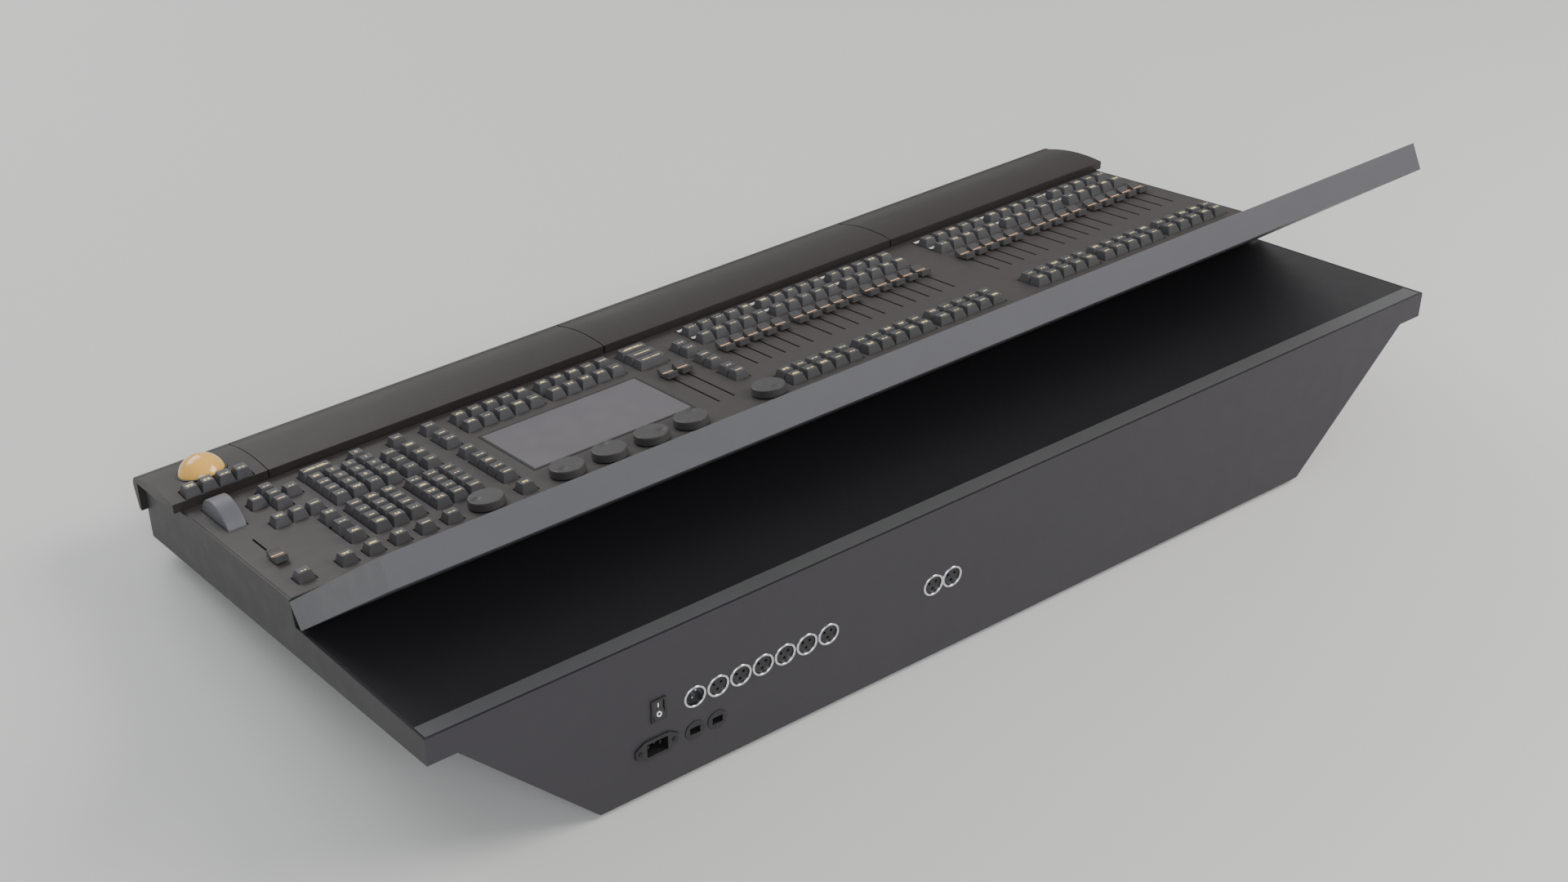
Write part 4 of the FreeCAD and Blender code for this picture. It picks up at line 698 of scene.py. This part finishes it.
def level_wheel():
    low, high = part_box("level_wheel")
    centre = (Vector(low) + Vector(high)) / 2
    half, radius = (high[0] - low[0]) / 2, (high[2] - low[2]) / 2
    corner = [(half - WHEEL_ROUND + WHEEL_ROUND * math.sin(math.radians(angle)),
               radius - WHEEL_ROUND + WHEEL_ROUND * math.cos(math.radians(angle)))
              for angle in range(0, 91, 15)]
    dished = half - HUB_DEPTH
    right = corner + [(half, HUB_RADIUS + HUB_DEPTH), (dished, HUB_RADIUS), (dished, WHEEL_BORE)]
    profile = [(-x, r) for x, r in reversed(right)] + right
    profile.append(profile[0])
    made = spun(profile, 144)
    bmesh.ops.translate(made, verts=made.verts, vec=centre)
    return make_piece(made, "level_wheel_rim", "level_wheel", [WHEEL_PLASTIC],
                      ["level_wheel"])


def trackball():
    low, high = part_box("trackball")
    centre = (Vector(low) + Vector(high)) / 2
    made = bmesh.new()
    bmesh.ops.create_uvsphere(made, u_segments=96, v_segments=48, radius=(high[2] - low[2]) / 2,
                              matrix=Matrix.Translation(centre))
    return make_piece(made, "trackball_sphere", "trackball", [BALL_RESIN],
                      ["trackball"], math.pi)


# ---------------------------------------------------------------- screens and strips
FACE_BORDER = 3.2 * MM
FACE_THICKNESS = 0.1 * MM
STRIP_PITCH = 19.7 * MM


def command_face():
    """The light display inside its dark border."""
    low, high = islands("command_screen", PANEL_TILT)[0]
    size = (high.x - low.x - FACE_BORDER * 2, high.y - low.y - FACE_BORDER * 2, FACE_THICKNESS)
    made = block(size, ((low.x + high.x) / 2, (low.y + high.y) / 2, high.z))
    bmesh.ops.rotate(made, verts=made.verts, matrix=Matrix.Rotation(PANEL_TILT, 3, "X"))
    make_piece(made, "command_face", "desk", [COMMAND_FACE])


def strip_windows():
    """Five white windows in each dark strip, one in front of each executor."""
    made = bmesh.new()
    turn = Matrix.Rotation(PANEL_TILT, 4, "X")
    for low, high in islands("label_strips", PANEL_TILT):
        middle = (low.x + high.x) / 2
        for step in range(-2, 3):
            window = block((17.2 * MM, high.y - low.y - 1.2 * MM, 0.12 * MM),
                           (middle + step * STRIP_PITCH, (low.y + high.y) / 2, high.z))
            stamp(made, as_mesh(window, "window"), turn)
    make_piece(made, "strip_windows", "desk", [LABEL])


# ---------------------------------------------------------------- rear connectors
RING_BORE = 10.3 * MM
BARREL_WALL = 1.4 * MM
ROCKER_DIP = 1.5 * MM
ROCKER_REACH = 10.5 * MM
CONTACT_PITCH = 1.02 * MM
PIN_CIRCLE = 5 * MM


def switch_marks():
    """I above and O below, on the rocker's two slopes."""
    low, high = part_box("power_rocker")
    centre = (Vector(low) + Vector(high)) / 2
    joint = joints["power_rocker_tilt"]
    pivot = Vector(joint["pos_m"])
    tilt = math.radians(abs(joint["range_deg"][0]) / 2)
    slope = math.atan2(ROCKER_DIP, ROCKER_REACH)
    made = bmesh.new()
    for kind, side in (("bar", 1), ("ring", -1)):
        if kind == "bar":
            shape = block((1.2 * MM, 0.12 * MM, 5 * MM), (0, 0, 0))
        else:
            shape = bmesh.new()
            bmesh.ops.create_circle(shape, cap_ends=False, segments=32, radius=2.9 * MM)
            made_ring = bmesh.ops.extrude_edge_only(shape, edges=shape.edges[:])
            inner = [item for item in made_ring["geom"] if isinstance(item, bmesh.types.BMVert)]
            bmesh.ops.scale(shape, verts=inner, vec=(0.52, 0.52, 1))
            bmesh.ops.rotate(shape, verts=shape.verts, matrix=Matrix.Rotation(-math.pi / 2, 3, "X"))
        place = (Matrix.Translation((centre.x, pivot.y, pivot.z)) @ Matrix.Rotation(tilt, 4, "X")
                 @ Matrix.Translation((0, 2.77 * MM + 0.02 * MM, side * 5.2 * MM))
                 @ Matrix.Rotation(-side * slope, 4, "X"))
        stamp(made, as_mesh(shape, kind), place)
    bmesh.ops.recalc_face_normals(made, faces=made.faces)
    make_piece(made, "switch_marks", "power_rocker", [MARK])


def jack_contacts():
    """Eight gold springs in the roof of each network socket."""
    made = bmesh.new()
    for low, high in islands("network_sockets", 0):
        centre = (low + high) / 2
        for index in range(8):
            x = centre.x + (index - 3.5) * CONTACT_PITCH
            spring = block((0.45 * MM, 9 * MM, 0.4 * MM), (x, high.y - 7 * MM, centre.z + 3.5 * MM))
            bmesh.ops.rotate(spring, verts=spring.verts, cent=(x, high.y - 2.5 * MM, centre.z + 3.5 * MM),
                             matrix=Matrix.Rotation(math.radians(10), 3, "X"))
            stamp(made, as_mesh(spring, "spring"), Matrix.Identity(4))
    make_piece(made, "jack_contacts", "desk", [GOLD])


def screw_heads(name, places, radius):
    """Screw heads on the rear panel, facing +Y; each cross recess is a thin dark sheet on the head, painted
    shade in place of a hollow.
    """
    made = bmesh.new()
    for x, y, z in places:
        head = cylinder_mesh(radius, 1.2 * MM, (0, 0, 0), 28)
        rim = [edge for edge in head.edges if min(vert.co.z for vert in edge.verts) > 0]
        bmesh.ops.bevel(head, geom=rim, offset=0.5 * MM, segments=3, profile=0.5, affect="EDGES",
                        clamp_overlap=True, material=-1)
        turn = Matrix.Translation((x, y, z)) @ Matrix.Rotation(-math.pi / 2, 4, "X")
        stamp(made, as_mesh(head, "head"), turn, 0)
        # Painted shade: a thin dark sheet stands in for the shadowed hollow of each cross recess.
        for angle in (0.4, 0.4 + math.pi / 2):
            recess = as_mesh(block((radius * 1.15, radius * 0.24, 0.1 * MM), (0, 0, 0.58 * MM)), "recess")
            stamp(made, recess, turn @ Matrix.Rotation(angle, 4, "Z"), 1)
    make_piece(made, name, "desk", [DARK_STEEL, SOCKET_PLASTIC])


def rounded_rings(node, name):
    """Plated connector rings with a round section, and their barrels behind the panel."""
    made = bmesh.new()
    for low, high in islands(node, 0):
        outer, face = (high.x - low.x) / 2, high.y
        bore, tube = RING_BORE, (outer - RING_BORE) / 2
        middle = (outer + bore) / 2
        section = [(face - tube * (1 - math.sin(math.radians(angle))),
                    middle + tube * math.cos(math.radians(angle))) for angle in range(0, 181, 15)]
        back = face - (high.y - low.y)
        section += [(back, bore), (back, bore + BARREL_WALL), (face - tube - 0.2 * MM, bore + BARREL_WALL),
                    (face - tube - 0.2 * MM, outer)]
        section.append(section[0])
        shape = spun(section, 72)
        bmesh.ops.rotate(shape, verts=shape.verts, matrix=Matrix.Rotation(math.pi / 2, 3, "Z"))
        place = Matrix.Translation(((low.x + high.x) / 2, 0, (low.z + high.z) / 2))
        stamp(made, as_mesh(shape, "ring"), place)
    make_piece(made, name, "desk", [CHROME], [node])


def male_pins():
    """Three bright contacts over the moulded ones in the male socket."""
    low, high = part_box("xlr_male_ring")
    made = bmesh.new()
    x, z = (low[0] + high[0]) / 2, (low[2] + high[2]) / 2
    for angle in (30, 150, 270):
        turn = math.radians(angle)
        pin = cylinder_mesh(1.2 * MM, 10 * MM, (0, 0, 0), 20)
        tip = [edge for edge in pin.edges if min(vert.co.z for vert in edge.verts) > 0]
        bmesh.ops.bevel(pin, geom=tip, offset=0.7 * MM, segments=3, profile=0.5, affect="EDGES",
                        clamp_overlap=True, material=-1)
        place = Matrix.Translation((x + PIN_CIRCLE * math.cos(turn), high[1] - 11.3 * MM,
                                    z + PIN_CIRCLE * math.sin(turn)))
        stamp(made, as_mesh(pin, "pin"), place @ Matrix.Rotation(-math.pi / 2, 4, "X"))
    make_piece(made, "male_pins", "desk", [CHROME])


def inlet_blades():
    """Three flat blades in the mains inlet, plated over the moulded ones."""
    low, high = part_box("mains_inlet")
    x, z = (low[0] + high[0]) / 2, (low[2] + high[2]) / 2
    made = bmesh.new()
    for blade_x, blade_z in ((-7, -1.5), (0, 2), (7, -1.5)):
        shape = block((2.15 * MM, 16 * MM, 4.15 * MM),
                      (x + blade_x * MM, high[1] - 14 * MM, z + blade_z * MM), 0.4 * MM)
        stamp(made, as_mesh(shape, "blade"), Matrix.Identity(4))
    make_piece(made, "inlet_blades", "desk", [CHROME])


def inlet_screws():
    low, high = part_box("mains_inlet")
    middle = (Vector(low) + Vector(high)) / 2
    reach = (high[0] - low[0]) / 2 - 5.5 * MM
    places = [(middle.x + side * reach, high[1] + 0.5 * MM, middle.z) for side in (-1, 1)]
    screw_heads("inlet_screws", places, 2.6 * MM)


# ---------------------------------------------------------------- studio
def floor():
    made = bmesh.new()
    bmesh.ops.create_grid(made, x_segments=1, y_segments=1, size=14)
    mesh = as_mesh(made, "floor")
    material, tree, shader = shell("studio floor", 0.6)
    texture = use_group(tree, POWDER, grain=30.0, mottle=0.8)
    tree.links.new(blend_colour(tree, texture.outputs["Mottle"], (0.7, 0.7, 0.69), (0.74, 0.74, 0.73)),
                   shader.inputs["Base Color"])
    mesh.materials.append(material)
    plane = bpy.data.objects.new("studio_floor", mesh)
    bpy.context.collection.objects.link(plane)


def area_light(name, place, aim, size, power, colour=(1, 1, 1)):
    lamp = bpy.data.lights.new(name, "AREA")
    lamp.shape = "RECTANGLE"
    lamp.size, lamp.size_y = size
    lamp.energy = power
    lamp.color = colour
    holder = bpy.data.objects.new(name, lamp)
    holder.location = place
    holder.rotation_euler = (Vector(aim) - Vector(place)).to_track_quat("-Z", "Y").to_euler()
    bpy.context.collection.objects.link(holder)


def studio():
    floor()
    area_light("key_light", (-2.2, 1.6, 2.6), (0, 0, 0.1), (2.2, 1.6), 95, (1.0, 0.97, 0.93))
    area_light("rear_light", (1.6, 3.0, 2.0), (0, 0, 0.1), (2.4, 1.4), 60, (0.95, 0.97, 1.0))
    area_light("front_fill", (0.8, -3.0, 2.2), (0, 0, 0.1), (2.6, 1.6), 55)
    world = bpy.data.worlds.new("studio")
    world.use_nodes = True
    world.node_tree.nodes["Background"].inputs["Color"].default_value = (0.86, 0.87, 0.88, 1)
    world.node_tree.nodes["Background"].inputs["Strength"].default_value = 0.55
    bpy.context.scene.world = world


def camera():
    """Behind the desk, toward the operator's right, looking down at 35 degrees."""
    lens = bpy.data.cameras.new("camera")
    lens.lens = 53.1
    lens.sensor_width = 36.0
    holder = bpy.data.objects.new("camera", lens)
    holder.location = (1.299, 1.764, 1.578)
    holder.rotation_euler = Vector((-0.4835, -0.6660, -0.5680)).to_track_quat("-Z", "Y").to_euler()
    bpy.context.collection.objects.link(holder)
    bpy.context.scene.camera = holder


SOFT_EDGES = {
    "base_tub": 0.8, "rear_panel": 0.35, "slab_floor": 0.4, "side_panel_left": 0.45,
    "side_panel_right": 0.45, "front_panel": 0.4, "hinge_rail": 0.3, "control_panel": 0.3,
    "deck_plate": 0.3, "deck_trim": 0.35, "wing_shell": 0.8, "wing_bezel": 0.35, "armrest_pads": 1.1,
    "trackball_module": 1.0, "trackball_cup": 0.3, "mains_inlet": 0.3, "switch_frame": 0.35,
    "power_rocker": 0.5, "feet": 1.2, "xlr_cores": 0.15,
    "network_sockets": 0.25, "command_screen": 0.2, "wing_screens": 0.2, "label_strips": 0.12,
}

for name, material in NODE_MATERIAL.items():
    mesh = frame["nodes"][name].data
    mesh.materials.clear()
    mesh.materials.append(material)
for name, width in SOFT_EDGES.items():
    softened(name, width * MM)
for name in KEY_GROUPS:
    key_group(name)
key_webs()
fader_shape = cap_mesh()
for name in FADERS:
    fader_group(name, fader_shape)
for number in range(1, 7):
    encoder_piece(f"encoder_{number}")
level_wheel()
trackball()
command_face()
strip_windows()
rounded_rings("xlr_rings", "female_rings")
rounded_rings("xlr_male_ring", "male_ring")
male_pins()
inlet_blades()
switch_marks()
jack_contacts()
inlet_screws()
studio()
camera()
